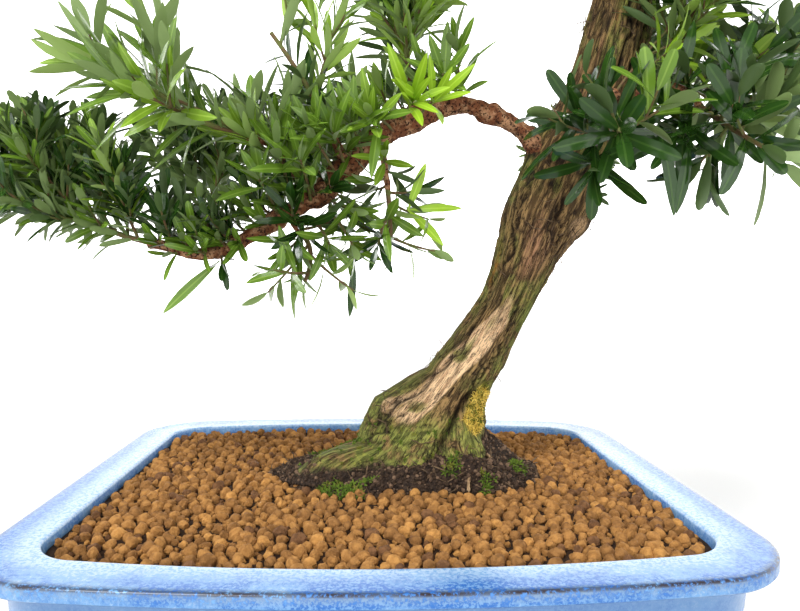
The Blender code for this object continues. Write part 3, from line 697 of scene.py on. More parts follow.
def ring_faces(rings: int, sides: int) -> np.ndarray:
    """Four-cornered faces between rings of points, pointing outwards."""
    ring, side = np.meshgrid(np.arange(rings - 1), np.arange(sides), indexing="ij")
    first = ring * sides + side
    after = ring * sides + (side + 1) % sides
    return np.stack([first, after, after + sides, first + sides], axis=-1).reshape(-1, 4)


def cap_rings(mesh: Any, sides: int) -> None:
    """Closes both ends of a mesh that is made of rings."""
    shape = bmesh.new()
    shape.from_mesh(mesh)
    shape.verts.ensure_lookup_table()
    count = len(shape.verts)
    shape.faces.new([shape.verts[index] for index in reversed(range(sides))])
    shape.faces.new([shape.verts[index] for index in range(count - sides, count)])
    shape.to_mesh(mesh)
    shape.free()


def set_attribute(mesh: Any, name: str, values: np.ndarray) -> None:
    """Stores a value for each point of a mesh."""
    attribute = mesh.attributes.new(name, "FLOAT", "POINT")
    attribute.data.foreach_set("value", np.clip(values, 0.0, 1.0).astype(np.float32).ravel())


def set_flow(mesh: Any, first: np.ndarray, second: np.ndarray, third: np.ndarray) -> None:
    """Stores a place for each point of a mesh, which textures read to follow the grain."""
    attribute = mesh.attributes.new("flow", "FLOAT_VECTOR", "POINT")
    attribute.data.foreach_set("vector", np.stack([first, second, third], axis=-1).astype(np.float32).ravel())


class GrowthTree:
    """A Geometry Nodes tree, built step by step, with named inputs for its sizes."""

    def __init__(self, name: str) -> None:
        """Starts a tree that takes a mesh and gives one back."""
        self.tree = bpy.data.node_groups.new(name, "GeometryNodeTree")
        self.tree.interface.new_socket("Geometry", in_out="INPUT", socket_type="NodeSocketGeometry")
        self.tree.interface.new_socket("Geometry", in_out="OUTPUT", socket_type="NodeSocketGeometry")
        self.source = self.tree.nodes.new("NodeGroupInput")
        self.result = self.tree.nodes.new("NodeGroupOutput")
        self.identifiers: dict[str, str] = {}

    def size(self, name: str, kind: str = "NodeSocketFloat") -> Any:
        """Adds a named input and returns its socket."""
        item = self.tree.interface.new_socket(name, in_out="INPUT", socket_type=kind)
        self.identifiers[name] = item.identifier
        return self.source.outputs[name]

    def node(self, kind: str, inputs: dict[Any, Any] | None = None, **settings: Any) -> Any:
        """Adds a node, sets its properties and feeds its inputs, by their names or numbers."""
        node = self.tree.nodes.new(kind)
        for name, value in settings.items():
            setattr(node, name, value)
        for key, value in (inputs or {}).items():
            if isinstance(value, bpy.types.NodeSocket):
                self.tree.links.new(value, node.inputs[key])
            else:
                node.inputs[key].default_value = value
        return node

    def attribute(self, name: Any, kind: str = "FLOAT") -> Any:
        """The value of a point attribute."""
        return self.node("GeometryNodeInputNamedAttribute", {"Name": name}, data_type=kind).outputs[0]

    def math(self, operation: str, *values: Any) -> Any:
        """The result of an operation on one or two values."""
        return self.node("ShaderNodeMath", dict(enumerate(values)), operation=operation).outputs[0]

    def equals(self, name: str, number: int) -> Any:
        """Whether a whole-number attribute has a value."""
        inputs = {2: self.attribute(name, "INT"), 3: number}
        return self.node("FunctionNodeCompare", inputs, data_type="INT", operation="EQUAL").outputs[0]

    def scaled(self, vector: Any, scale: Any) -> Any:
        """A vector times a number."""
        return self.node("ShaderNodeVectorMath", {0: vector, "Scale": scale}, operation="SCALE").outputs[0]

    def finish(self, geometry: Any, finishes: Sequence[tuple[Any, Any]]) -> None:
        """Ends the tree with its finishes, each with a selection or None for all faces."""
        for selection, finish in finishes:
            inputs = {"Geometry": geometry, "Material": finish}
            if selection is not None:
                inputs["Selection"] = selection
            geometry = self.node("GeometryNodeSetMaterial", inputs).outputs[0]
        self.tree.links.new(geometry, self.result.inputs["Geometry"])

    def grow(self, obj: Any, name: str, values: dict[str, Any]) -> Any:
        """Runs the tree on an object and returns the result as a plain mesh.

        Args:
            obj: The object that the tree starts from.
            name: Name of the new mesh.
            values: A value for each named input.

        Returns:
            The new mesh.
        """
        modifier = obj.modifiers.new("growth", "NODES")
        modifier.node_group = self.tree
        for key, value in values.items():
            modifier[self.identifiers[key]] = value
        graph = bpy.context.evaluated_depsgraph_get()
        mesh = bpy.data.meshes.new_from_object(obj.evaluated_get(graph))
        mesh.name = name
        obj.modifiers.remove(modifier)
        return mesh


class LeafShape(Enum):
    """Outlines of a leaf: pairs of a place along it and its width there, as shares of the whole."""

    LANCE = ((0.0, 0.16), (0.06, 0.20), (0.22, 0.66), (0.45, 0.96), (0.66, 0.98), (0.85, 0.66), (0.96, 0.28),
             (1.0, 0.07))
    BLUNT = ((0.0, 0.16), (0.06, 0.22), (0.20, 0.66), (0.45, 0.94), (0.68, 1.0), (0.87, 0.84), (0.968, 0.50),
             (1.0, 0.16))

    def blade(self) -> Any:
        """A closed leaf one unit long and wide, with a raised midrib and a keel underneath."""
        stations = np.array([pair[0] for pair in self.value])
        half = np.array([pair[1] for pair in self.value]) / 2
        rib = np.minimum(0.065, half * 0.45)
        zero = half * 0
        across = np.stack([-half, -rib, rib, half, zero], axis=1)
        rise = np.stack([half * 0.14, zero + 0.030, zero + 0.030, half * 0.14, -0.030 - half * 0.06], axis=1)
        along = np.repeat(stations[:, None], 5, axis=1)
        points = np.stack([along, -across, rise], axis=-1).reshape(-1, 3)
        faces = ring_faces(len(stations), 5)
        mesh = mesh_of_quads(f"blade_{self.name.lower()}", points, faces)
        cap_rings(mesh, 5)
        face, rib, under = (surface.value for surface in LeafSurface)
        surfaces = [face, rib, face, under, under] * (len(stations) - 1) + [under, under]
        mesh.attributes.new("surface", "INT", "FACE").data.foreach_set("value", np.array(surfaces))
        set_attribute(mesh, "station", along)
        mesh.set_sharp_from_angle(angle=math.radians(50))
        return link_mesh(mesh.name, mesh)


def leaf_tree(blades: dict[LeafShape, Any]) -> GrowthTree:
    """The tree that puts a leaf on each point, turned, sized and bent by the point's attributes."""
    tree = GrowthTree("leaves_on_twigs")
    arch = tree.size("Arch")
    upper = tree.attribute("upper", "FLOAT_VECTOR")
    length = tree.attribute("length")
    width = tree.attribute("width")
    turn = tree.node("FunctionNodeAxesToRotation", {0: tree.attribute("along", "FLOAT_VECTOR"), 1: upper},
                     primary_axis="X", secondary_axis="Z").outputs[0]
    size = tree.node("ShaderNodeCombineXYZ", {0: length, 1: width, 2: width}).outputs[0]
    kinds = tree.node("GeometryNodeJoinGeometry")
    for number, blade in reversed(list(enumerate(blades.values()))):
        shape = tree.node("GeometryNodeObjectInfo", {"Object": blade}).outputs["Geometry"]
        placed = tree.node("GeometryNodeInstanceOnPoints", {
            "Points": tree.source.outputs["Geometry"], "Selection": tree.equals("shape", number),
            "Instance": shape, "Rotation": turn, "Scale": size})
        tree.tree.links.new(placed.outputs[0], kinds.inputs[0])
    leaves = tree.node("GeometryNodeRealizeInstances", {0: kinds.outputs[0]}).outputs[0]
    station = tree.attribute("station")
    sag = tree.math("MULTIPLY", tree.math("POWER", station, 2.0), tree.attribute("droop"))
    bow = tree.math("MULTIPLY", tree.math("SINE", tree.math("MULTIPLY", station, math.pi)), arch)
    lift = tree.math("MULTIPLY", tree.math("SUBTRACT", bow, sag), length)
    bent = tree.node("GeometryNodeSetPosition", {"Geometry": leaves, "Offset": tree.scaled(upper, lift)})
    finishes = []
    for number, tone in enumerate(LeafTone):
        for surface in LeafSurface:
            both = tree.node("FunctionNodeBooleanMath", {
                0: tree.equals("tone", number), 1: tree.equals("surface", surface.value)}, operation="AND")
            finishes.append((both.outputs[0], tone.material(surface)))
    tree.finish(bent.outputs[0], finishes)
    return tree


def twig_tree() -> GrowthTree:
    """The tree that sweeps a round section along every twig of a mass."""
    tree = GrowthTree("twigs_along_paths")
    sides = tree.size("Sides", "NodeSocketInt")
    finish = tree.size("Finish", "NodeSocketMaterial")
    lines = tree.node("GeometryNodeMeshToCurve", {0: tree.source.outputs["Geometry"]}).outputs[0]
    ring = tree.node("GeometryNodeCurvePrimitiveCircle", {"Resolution": sides, "Radius": 1.0}).outputs[0]
    swept = tree.node("GeometryNodeCurveToMesh", {
        "Curve": lines, "Profile Curve": ring, "Scale": tree.attribute("girth"), "Fill Caps": True}).outputs[0]
    real = tree.node("GeometryNodeRealizeInstances", {0: swept}).outputs[0]
    tree.finish(real, [(None, finish)])
    return tree


@dataclass(frozen=True)
class LeafKind:
    """How a mass's leaves look and stand: their outline, sizes, spacing and angles in degrees."""

    shape: LeafShape
    length: float
    width: float
    spacing: float
    twig_spacing: float
    sizes: tuple[float, float] = (0.66, 1.06)
    opening: tuple[float, float] = (26, 46)
    opening_growth: float = 34
    droop: tuple[float, float] = (-0.03, 0.14)


FINE = LeafKind(LeafShape.BLUNT, 0.0225, 0.0040, 0.0017, 0.0080, opening=(22, 44), opening_growth=16)
MIDDLE = LeafKind(LeafShape.LANCE, 0.0300, 0.0048, 0.0024, 0.0100, opening=(16, 38), opening_growth=20)
FRONT = LeafKind(LeafShape.LANCE, 0.0360, 0.0058, 0.0030, 0.0130, sizes=(0.70, 1.08), opening=(14, 36),
                 opening_growth=24)
BROAD = LeafKind(LeafShape.BLUNT, 0.0360, 0.0078, 0.0040, 0.0170, sizes=(0.66, 1.14), opening=(24, 50),
                 opening_growth=26)
SPARSE = LeafKind(LeafShape.LANCE, 0.0270, 0.0056, 0.0050, 0.0, opening=(34, 60))


@dataclass
class Leaf:
    """One leaf: its root, direction, upper side, length, width, droop, tone and outline."""

    root: Vector
    along: Vector
    upper: Vector
    length: float
    width: float
    droop: float
    tone: LeafTone
    shape: LeafShape


@dataclass(frozen=True)
class Rosette:
    """A twig with a rosette of leaves at its end, at places with heights above the rim."""

    mass: str
    start: tuple[float, float, float]
    end: tuple[float, float, float]
    kind: LeafKind
    tone: LeafTone
    leaves: int
    size: float
    opening: float = 62.0


@dataclass(frozen=True)
class LoneLeaf:
    """A single leaf that stands out: its two ends, its width and the way its face looks."""

    mass: str
    root: tuple[float, float, float]
    tip: tuple[float, float, float]
    width: float
    tone: LeafTone
    facing: tuple[float, float, float] = (0.1, -1.0, 0.3)
    droop: float = 0.06


@dataclass
class Pot:
    """The glazed pot: a rounded rectangle with bowed long sides, a lip, a tapering body and a foot."""

    length: float = 0.360
    depth: float = 0.300
    height: float = POT_HEIGHT
    corner: float = 0.040
    bow: float = 0.016
    rim_width: float = 0.0245
    rim_corner: float = 0.020
    lip_height: float = 0.0065
    arris: float = 0.0016
    cavity_floor: float = 0.014
    cavity_inset: float = 0.036
    corner_steps: int = 14
    side_steps: int = 22
    arris_steps: int = 4
    glaze: GlazeFinish = GlazeFinish()

    def outline(self, inset: float, corner: float, height: float) -> np.ndarray:
        """The rounded rectangle set in from the rim's outer edge, with its long sides bowed."""
        half_x = self.length / 2 - inset
        half_y = self.depth / 2 - inset
        flat = []
        for quarter in range(4):
            turn = quarter * math.pi / 2
            side_x = half_x - corner if quarter in (0, 3) else corner - half_x
            side_y = half_y - corner if quarter in (0, 1) else corner - half_y
            for step in range(self.corner_steps + 1):
                angle = turn + step / self.corner_steps * math.pi / 2
                flat.append((side_x + corner * math.cos(angle), side_y + corner * math.sin(angle)))
            if quarter in (0, 2):
                for step in range(1, self.side_steps):
                    across = (half_x - corner) * (1 - 2 * step / self.side_steps)
                    sign = 1 if quarter == 0 else -1
                    flat.append((sign * across, sign * half_y))
        points = np.array(flat)
        bow = self.bow * (1 - (points[:, 0] / half_x) ** 2) * points[:, 1] / half_y
        level = np.full(len(points), height)
        return np.column_stack([points[:, 0], points[:, 1] + bow, level])

    def rounded_edge(self, inset: float, height: float, outer: bool) -> list[tuple[float, float]]:
        """Insets and heights round one of the rim's two upper edges, from outside in."""
        rows = []
        for step in range(self.arris_steps + 1):
            angle = step / self.arris_steps * math.pi / 2
            if outer:
                rows.append((inset + self.arris * (1 - math.cos(angle)),
                             height - self.arris * (1 - math.sin(angle))))
            else:
                rows.append((inset - self.arris * (1 - math.sin(angle)),
                             height - self.arris * (1 - math.cos(angle))))
        return rows

    def profile(self) -> list[tuple[float, float, float]]:
        """Inset, corner radius and height of each ring from the underside round to the cavity."""
        lip = self.height - self.lip_height
        rows = [(0.0300, 0.0), (0.0290, 0.0004), (0.0280, 0.0012), (0.0280, 0.0075), (0.0262, 0.0092),
                (0.0240, 0.0105), (0.0205, 0.0210), (0.0170, 0.0330), (0.0140, 0.0460), (0.0118, 0.0600),
                (0.0103, 0.0720), (0.0095, self.height - 0.014), (0.0085, lip - 0.0024),
                (0.0060, lip - 0.0009), (0.0012, lip - 0.0004), (0.0, lip + 0.0008)]
        rows += self.rounded_edge(0.0, self.height, outer=True)
        rows += [(self.rim_width * share, self.height) for share in (0.18, 0.36, 0.54, 0.72, 0.86)]
        rows += self.rounded_edge(self.rim_width, self.height, outer=False)
        rows += [(self.rim_width + 0.0012, self.height - 0.012), (self.cavity_inset, self.cavity_floor)]
        result = []
        for inset, height in rows:
            share = min(inset / self.rim_width, 1.0)
            corner = self.corner + (self.rim_corner - self.corner) * share
            if height < lip + 0.0005:
                corner = 0.038 - 0.008 * smooth_step(inset, 0.010, 0.030)
            result.append((inset, float(corner), height))
        for index in (-2, -1):
            inset, _, height = result[index]
            result[index] = (inset, self.rim_corner, height)
        return result

    def build(self) -> None:
        """Builds the glazed pot and puts it in place of the plain one."""
        rows = self.profile()
        rings = [self.outline(*row) for row in rows]
        sides = len(rings[0])
        points = np.concatenate(rings)
        mesh = mesh_of_quads("pot_glazed", points, ring_faces(len(rings), sides))
        cap_rings(mesh, sides)
        inset = np.repeat([row[0] for row in rows], sides)
        height = points[:, 2]
        on_top = smooth_step(height, self.height - 0.0020, self.height - 0.0004)
        around = np.tile(np.linspace(0, 1, sides, endpoint=False), len(rows))
        drift = wave_field(around, inset / 0.05, (34, 9), 3) * 0.5 + 0.5
        pale = smooth_step(inset + 0.010 * drift, 0.013, 0.0265) * on_top
        edge = bell(inset, self.arris * 0.35, self.arris * 0.95) * smooth_step(height, 0.0955, 0.0972)
        lip_face = smooth_step(height, 0.0930, 0.0944) * smooth_step(inset, 0.0016, 0.0004)
        pale = np.maximum(pale, 0.45 * lip_face * (0.4 + drift))
        worn = smooth_step(wave_field(around, inset * 0, (70, 2), 5), -0.2, 0.5)
        streak = smooth_step(wave_field(around, inset / 0.05, (56, 5), 7), -0.5, 0.4)
        streak = streak * (0.35 + 0.65 * bell(points[:, 0], 0.010, 0.070))
        pool = smooth_step(inset + 0.005 * drift, 0.018, 0.007) * smooth_step(height, 0.0925, 0.0950)
        set_attribute(mesh, "pale", pale * 0.9)
        # The low share darkens the body under the lip as painted shade.
        set_attribute(mesh, "low", smooth_step(height, 0.0930, 0.0905) * 0.75)
        set_attribute(mesh, "pool", pool * streak * 0.34)
        set_attribute(mesh, "clay", edge * (0.80 + 0.20 * worn))
        pot = link_mesh("pot_glazed", mesh, [self.glaze.material()])
        dress(pot, "glaze", "pot")


@dataclass(frozen=True)
class BarkLine:
    """A line on the trunk: its bearings at heights above the rim, its half width in degrees and depth."""

    heights: tuple[float, ...]
    bearings: tuple[float, ...]
    width: float
    depth: float = 0.0

    def share(self, height: np.ndarray, bearing: np.ndarray) -> np.ndarray:
        """How near each place is to the line, from 0 to 1, fading out at both its ends."""
        away = np.abs(angle_apart(bearing, np.interp(height, self.heights, self.bearings)))
        ends = smooth_step(height, self.heights[0] - 0.004, self.heights[0] + 0.005)
        ends = ends * smooth_step(height, self.heights[-1] + 0.004, self.heights[-1] - 0.005)
        return np.exp(-((away / self.width) ** 2)) * ends


CRACKS = (
    BarkLine((0.022, 0.034, 0.046, 0.060, 0.070, 0.081, 0.095, 0.108, 0.120, 0.132, 0.150, 0.178),
             (199, 205, 211, 220, 228, 231, 222, 212, 219, 228, 221, 223), 3.4, 0.0030),
    BarkLine((0.050, 0.063, 0.083, 0.100, 0.113), (288, 290, 296, 292, 279), 2.2, 0.0020),
    BarkLine((0.146, 0.154, 0.162, 0.176), (303, 297, 287, 280), 3.4, 0.0030),
    BarkLine((0.120, 0.140, 0.160, 0.176), (246, 250, 246, 252), 2.4, 0.0014),
    BarkLine((0.190, 0.215, 0.240, 0.270, 0.300), (258, 266, 272, 276, 262), 3.4, 0.0034),
    BarkLine((0.200, 0.230, 0.262, 0.310), (300, 294, 304, 296), 3.2, 0.0028),
    BarkLine((0.215, 0.245, 0.280, 0.330), (222, 230, 220, 226), 2.6, 0.0018),
    BarkLine((0.020, 0.060, 0.100, 0.150, 0.190), (24, 32, 22, 34, 26), 3.2, 0.0026),
    BarkLine((0.030, 0.070, 0.110, 0.170), (74, 66, 80, 70), 3.0, 0.0024),
    BarkLine((0.024, 0.080, 0.130, 0.180), (128, 118, 130, 120), 3.2, 0.0026),
    BarkLine((0.060, 0.100, 0.150, 0.210), (160, 168, 156, 166), 2.8, 0.0020),
    BarkLine((0.210, 0.250, 0.300, 0.350), (40, 52, 44, 50), 3.0, 0.0020),
    BarkLine((0.200, 0.260, 0.320, 0.370), (110, 100, 112, 104), 3.0, 0.0020),
)
HOLLOWS = (
    BarkLine((0.010, 0.022, 0.032, 0.042, 0.052), (260, 268, 276, 283, 288), 8.0, 0.0060),
    BarkLine((0.150, 0.160, 0.170), (282, 280, 274), 12.0, 0.0030),
    BarkLine((0.004, 0.016, 0.028), (350, 346, 342), 9.0, 0.0040),
    BarkLine((0.006, 0.022, 0.036), (100, 98, 92), 11.0, 0.0050),
    BarkLine((0.006, 0.020, 0.032), (158, 160, 158), 10.0, 0.0045),
)
SMALL_ROOTS = (
    BarkLine((-0.006, 0.004, 0.010, 0.018), (207, 205, 202, 198), 9.0, 0.0140),
    BarkLine((-0.004, 0.004, 0.010, 0.017, 0.026), (286, 290, 296, 306, 302), 7.0, 0.0042),
    BarkLine((-0.004, 0.006, 0.016), (318, 322, 318), 6.0, 0.0034),
    BarkLine((-0.004, 0.006, 0.014), (84, 80, 84), 7.0, 0.0036),
)
BARE_STRIP = ((0.030, 0.036, 0.045, 0.055, 0.067, 0.079, 0.087, 0.096, 0.105, 0.112, 0.118),
              (218, 220, 222, 232, 240, 252, 256, 266, 272, 276, 276),
              (5, 13, 20, 25, 27, 24, 23, 19, 15, 9, 4))


@dataclass
class Trunk:
    """The trunk with its root flare, knots, peeling strips, cracks and a bare strip."""

    sides: int = 304
    rings: int = 318
    strand: float = 0.0010
    strip: float = 0.0008
    thin: float = 0.00032
    hair: float = 0.00018
    groove: float = 0.0009
    bark: BarkFinish = BarkFinish()
    skin: Any = None

    def line(self) -> Tube:
        """The centre line, section planes and radii from the foot to the tip."""
        stations = [Vector((x, y, RIM + height, radius)) for (x, y), height, radius in TRUNK_STATIONS]
        samples = spline(stations, self.rings)
        line = Tube(points=[Vector(sample[:3]) for sample in samples],
                    radii=[sample[3] for sample in samples])
        up = Vector((0, 0, 1))
        for point, direction in zip(line.points, directions_along(line.points)):
            tilt = float(smooth_step(point.z - RIM, UPRIGHT_BELOW, TILTED_ABOVE))
            line.directions.append(up.lerp(direction, tilt).normalized())
        return line

    @staticmethod
    def radius(radius: np.ndarray, height: np.ndarray, bearing: np.ndarray) -> np.ndarray:
        """The trunk's radius at heights above the rim and bearings, with its roots and knots."""
        above_soil = height + SOIL_DEPTH_AT_TRUNK
        for root in ROOTS:
            left = np.clip((root.height - above_soil) / (root.height - root.level), 0.0, 1.0)
            hump = np.exp(-(angle_apart(bearing, root.bearing) / root.spread) ** 2)
            radius = radius + root.reach * left ** root.fall * hump
        for knot in KNOTS:
            around = angle_apart(bearing, knot.bearing) / knot.spread
            along = (height - knot.height) / knot.length
            radius = radius + knot.rise * np.exp(-along * along - around * around)
        return radius

    @staticmethod
    def bare_strip(height: np.ndarray, bearing: np.ndarray, ragged: np.ndarray) -> np.ndarray:
        """The share of the bare strip on the viewer's side, with a ragged edge."""
        heights, middles, halves = BARE_STRIP
        away = np.abs(angle_apart(bearing, np.interp(height, heights, middles)))
        half = np.interp(height, heights, halves) + 5.0 * ragged
        ends = smooth_step(height, heights[0], heights[1]) * smooth_step(height, heights[-1], heights[-2])
        return smooth_step(half - away, -2.0, 3.0) * ends

    @staticmethod
    def along_root(height: np.ndarray, bearing: np.ndarray) -> np.ndarray:
        """Bearings of the grain, which turns to run along the large root on the left."""
        away = angle_apart(bearing, ROOTS[0].bearing)
        pull = 1.4 * smooth_step(height, 0.075, 0.005)
        return bearing + away * pull * np.exp(-(away / 60) ** 2)

    def peeled(self, flow: np.ndarray, share: np.ndarray) -> np.ndarray:
        """Heights of long strips that lie over each other in uneven steps."""
        total = share * 0
        for columns, rows, seed, weight in ((13, 9, 31, 1.0), (25, 15, 32, 0.75), (46, 24, 33, 0.5)):
            field = wave_field(flow, share, (columns, rows), seed) * 2.4
            step = np.floor(field)
            edge = smooth_step(field - step, 0.80, 1.0)
            total = total + weight * (0.30 * field + 0.70 * (step + edge)) / 2.4
        return total

    def grooves(self, flow: np.ndarray, share: np.ndarray) -> np.ndarray:
        """Shares of narrow ragged grooves that run with the grain."""
        total = share * 0
        for columns, rows, seed, width in ((22, 13, 51, 0.13), (44, 30, 52, 0.15), (76, 54, 53, 0.17)):
            near = smooth_step(np.abs(wave_field(flow, share, (columns, rows), seed)), width, 0.0)
            broken = smooth_step(wave_field(flow, share, (columns, rows * 3), seed + 5), -0.5, 0.3)
            total = np.maximum(total, near * broken)
        return total

    @staticmethod
    def hollows(relief: np.ndarray, reach: int) -> np.ndarray:
        """How far each place lies above the mean of the places round it."""
        rings, sides = relief.shape
        wide = np.concatenate([relief[:, -reach:], relief, relief[:, :reach]], axis=1)
        tall = np.concatenate([wide[:1].repeat(reach, 0), wide, wide[-1:].repeat(reach, 0)])
        total = np.zeros_like(relief)
        for row in range(2 * reach + 1):
            for column in range(2 * reach + 1):
                total += tall[row:row + rings, column:column + sides]
        return relief - total / (2 * reach + 1) ** 2

    def relief(self, around: np.ndarray, share: np.ndarray, height: np.ndarray, bearing: np.ndarray,
               radius: np.ndarray) -> tuple[np.ndarray, dict[str, np.ndarray]]:
        """Heights of the bark above the smooth trunk, and the shares of its colours.

        Args:
            around: Turns round the trunk, from 0 to 1.
            share: Places along the trunk, from 0 at the foot to 1 at the tip.
            height: Heights above the rim.
            bearing: Bearings in degrees.
            radius: Radius of the smooth trunk.

        Returns:
            The relief in metres and a dictionary of colour shares by name.
        """
        warp = 0.030 * wave_field(around, share, (4, 8), 11) + 0.010 * wave_field(around, share, (11, 26), 12)
        warp = warp + 0.0032 * wave_field(around, share, (30, 70), 13)
        flow = around + warp + 0.12 * share
        strands = 1 - 2 * np.abs(wave_field(flow, share, (9, 6), 21))
        thin = wave_field(flow, share, (100, 46), 23)
        hair = wave_field(flow, share, (152, 130), 24)
        plates = wave_field(flow, share, (30, 60), 26)
        mottle = wave_field(flow, share, (24, 40), 41)
        patch = wave_field(around, share, (9, 22), 42)
        strip = self.bare_strip(height, bearing, wave_field(flow, share, (40, 18), 27) + 1.2 * patch)
        strip = strip * smooth_step(patch + 0.6 * mottle, 0.80, 0.45) * (1 - 0.5 * smooth_step(height, 0.080, 0.115))
        rough = (1 - 0.6 * strip) * (1 - 0.5 * smooth_step(height, 0.050, 0.020))
        grooves = self.grooves(flow, share) * rough
        relief = self.strand * strands * rough + self.strip * self.peeled(flow, share) * rough
        relief = relief + self.thin * thin + self.hair * hair - self.groove * grooves
        relief = relief * np.clip(radius / 0.020, 0.30, 1.15)
        crack = 1.0 * grooves
        for line in CRACKS:
            near = line.share(height, bearing + 7 * wave_field(around, share, (26, 90), 28))
            relief = relief - line.depth * near
            crack = np.maximum(crack, near * min(line.depth / 0.0026, 1.0) * smooth_step(thin, -0.9, 0.1))
        # Each hollow is sunk and darkened; the darkening is painted shade.
        for line in HOLLOWS:
            near = line.share(height, bearing)
            relief = relief - line.depth * near
            crack = np.maximum(crack, 0.75 * near ** 2)
        for line in SMALL_ROOTS:
            relief = relief + line.depth * line.share(height, bearing)
        cavity = self.hollows(relief, 3)
        # Places that lie below their surroundings are darkened as painted shade.
        crack = np.maximum(crack, 0.8 * smooth_step(-cavity, 0.00022, 0.00070))
        left = bell(angle_apart(bearing, 192), 0, 24) * smooth_step(height, 0.17, 0.09)
        right = bell(angle_apart(bearing, 325), 0, 30) * smooth_step(height, 0.150, 0.105)
        low = smooth_step(height, 0.046, 0.026)
        back = 0.55 * smooth_step(np.cos(np.radians(bearing - 90)), 0.1, 0.7) * smooth_step(height, 0.22, 0.05)
        algae = np.clip(np.maximum(np.maximum(left, right), np.maximum(low, back)) + 0.35 * patch, 0, 1)
        algae = np.maximum(algae * (1 - 0.85 * strip), 0.65 * smooth_step(patch + 0.6 * mottle, 0.15, 0.55))
        upper = smooth_step(height, 0.195, 0.225)
        bands = bell(angle_apart(bearing, 258), 0, 15) + 0.8 * bell(angle_apart(bearing, 318), 0, 26)
        algae = np.maximum(algae, upper * bands * smooth_step(patch, -0.9, 0.2))
        orange = BarkLine((0.112, 0.126, 0.150), (201, 205, 203), 5.0).share(height, bearing)
        orange = np.maximum(orange, BarkLine((0.205, 0.250, 0.320), (243, 250, 246), 3.0).share(height, bearing))
        red = bell(height, 0.140, 0.018) * bell(angle_apart(bearing, 270), 0, 22)
        red = np.maximum(red, upper * smooth_step(mottle + patch, -0.7, 0.1) * bell(angle_apart(bearing, 222), 0, 34))
        moss = bell(height, 0.041, 0.018) * bell(angle_apart(bearing, 310), 0, 21)
        moss = smooth_step(moss + 0.20 * mottle, 0.40, 0.66) * smooth_step(height, 0.014, 0.022)
        right_foot = bell(angle_apart(bearing, 342), 0, 34) * smooth_step(height, 0.034, 0.018)
        muck = np.maximum(smooth_step(height + 0.004 * mottle, 0.011, 0.004), smooth_step(right_foot, 0.30, 0.55))
        knot = bell(height, 0.160, 0.008) * bell(angle_apart(bearing, 326), 0, 20)
        torn = bell(height, 0.074, 0.022) * bell(angle_apart(bearing, 205), 0, 16)
        torn = np.maximum(torn, bell(height, 0.150, 0.022) * bell(angle_apart(bearing, 322), 0, 22))
        shred = np.clip(torn + 0.10 + 0.25 * upper, 0, 1) * smooth_step(cavity, -0.0001, 0.0003)
        green = (0.10 * low + 0.5 * bell(height, 0.012, 0.010) * smooth_step(patch, 0.1, 0.6)) * (1 - muck)
        # The light share is a painted highlight: bark that stands above its surroundings is lightened.
        looks = {"bare": strip, "crack": crack, "light": smooth_step(cavity, 0.00012, 0.00050),
                 "algae": algae * (1 - 0.6 * red), "orange": orange * smooth_step(mottle, -0.5, 0.2),
                 "red": red, "moss": moss, "pale": smooth_step(knot, 0.35, 0.7), "muck": muck,
                 "shred": shred, "green": np.clip(green, 0, 1)}
        return relief, looks

    def build(self) -> Tube:
        """Builds the trunk with its bark and returns its centre line."""
        line = self.line()
        frames = frames_along(line.directions, Vector((1, 0, 0)))
        bearing = np.linspace(0, 360, self.sides, endpoint=False)[None, :]
        centre = np.array([tuple(point) for point in line.points])
        side = np.array([tuple(frame[0]) for frame in frames])
        other = np.array([tuple(frame[1]) for frame in frames])
        height = (centre[:, 2] - RIM)[:, None] + bearing * 0
        radius = self.radius(np.array(line.radii)[:, None] + bearing * 0, height, bearing)
        share = np.linspace(0, 1, self.rings)[:, None] + bearing * 0
        grain = self.along_root(height, bearing)
        relief, looks = self.relief(grain / 360, share, height, bearing + share * 0, radius)
        reach = (radius + relief)[..., None]
        angle = np.radians(bearing)[..., None]
        points = centre[:, None] + reach * (np.cos(angle) * side[:, None] + np.sin(angle) * other[:, None])
        points[..., 2] = np.maximum(points[..., 2], RIM - SOIL_DEPTH_AT_TRUNK)
        mesh = mesh_of_quads("trunk_bark", points.reshape(-1, 3), ring_faces(self.rings, self.sides))
        cap_rings(mesh, self.sides)
        for name, values in looks.items():
            set_attribute(mesh, name, values)
        steps = np.linalg.norm(np.diff(centre, axis=0), axis=1)
        along = np.concatenate([[0.0], np.cumsum(steps)])[:, None] + bearing * 0
        twist = np.radians(grain + 43 * share)
        set_flow(mesh, np.cos(twist) * self.bark.wrap, np.sin(twist) * self.bark.wrap, along * self.bark.stretch)
        self.skin = link_mesh("trunk_bark", mesh, [self.bark.material()])
        dress(self.skin, "bark", "trunk")
        return line


LEFT_BOUGH = ("left_bough_inner", "left_bough_middle", "left_bough_outer", "left_bough_tip")
KNUCKLES = (
    (0.104, 0.0020, 0.008),
    (0.078, -0.0012, 0.014),
    (0.052, -0.0010, 0.014),
    (0.064, 0.0012, 0.005),
    (0.010, 0.0014, 0.010),
    (-0.027, 0.0022, 0.008),
    (-0.060, 0.0012, 0.006),
)


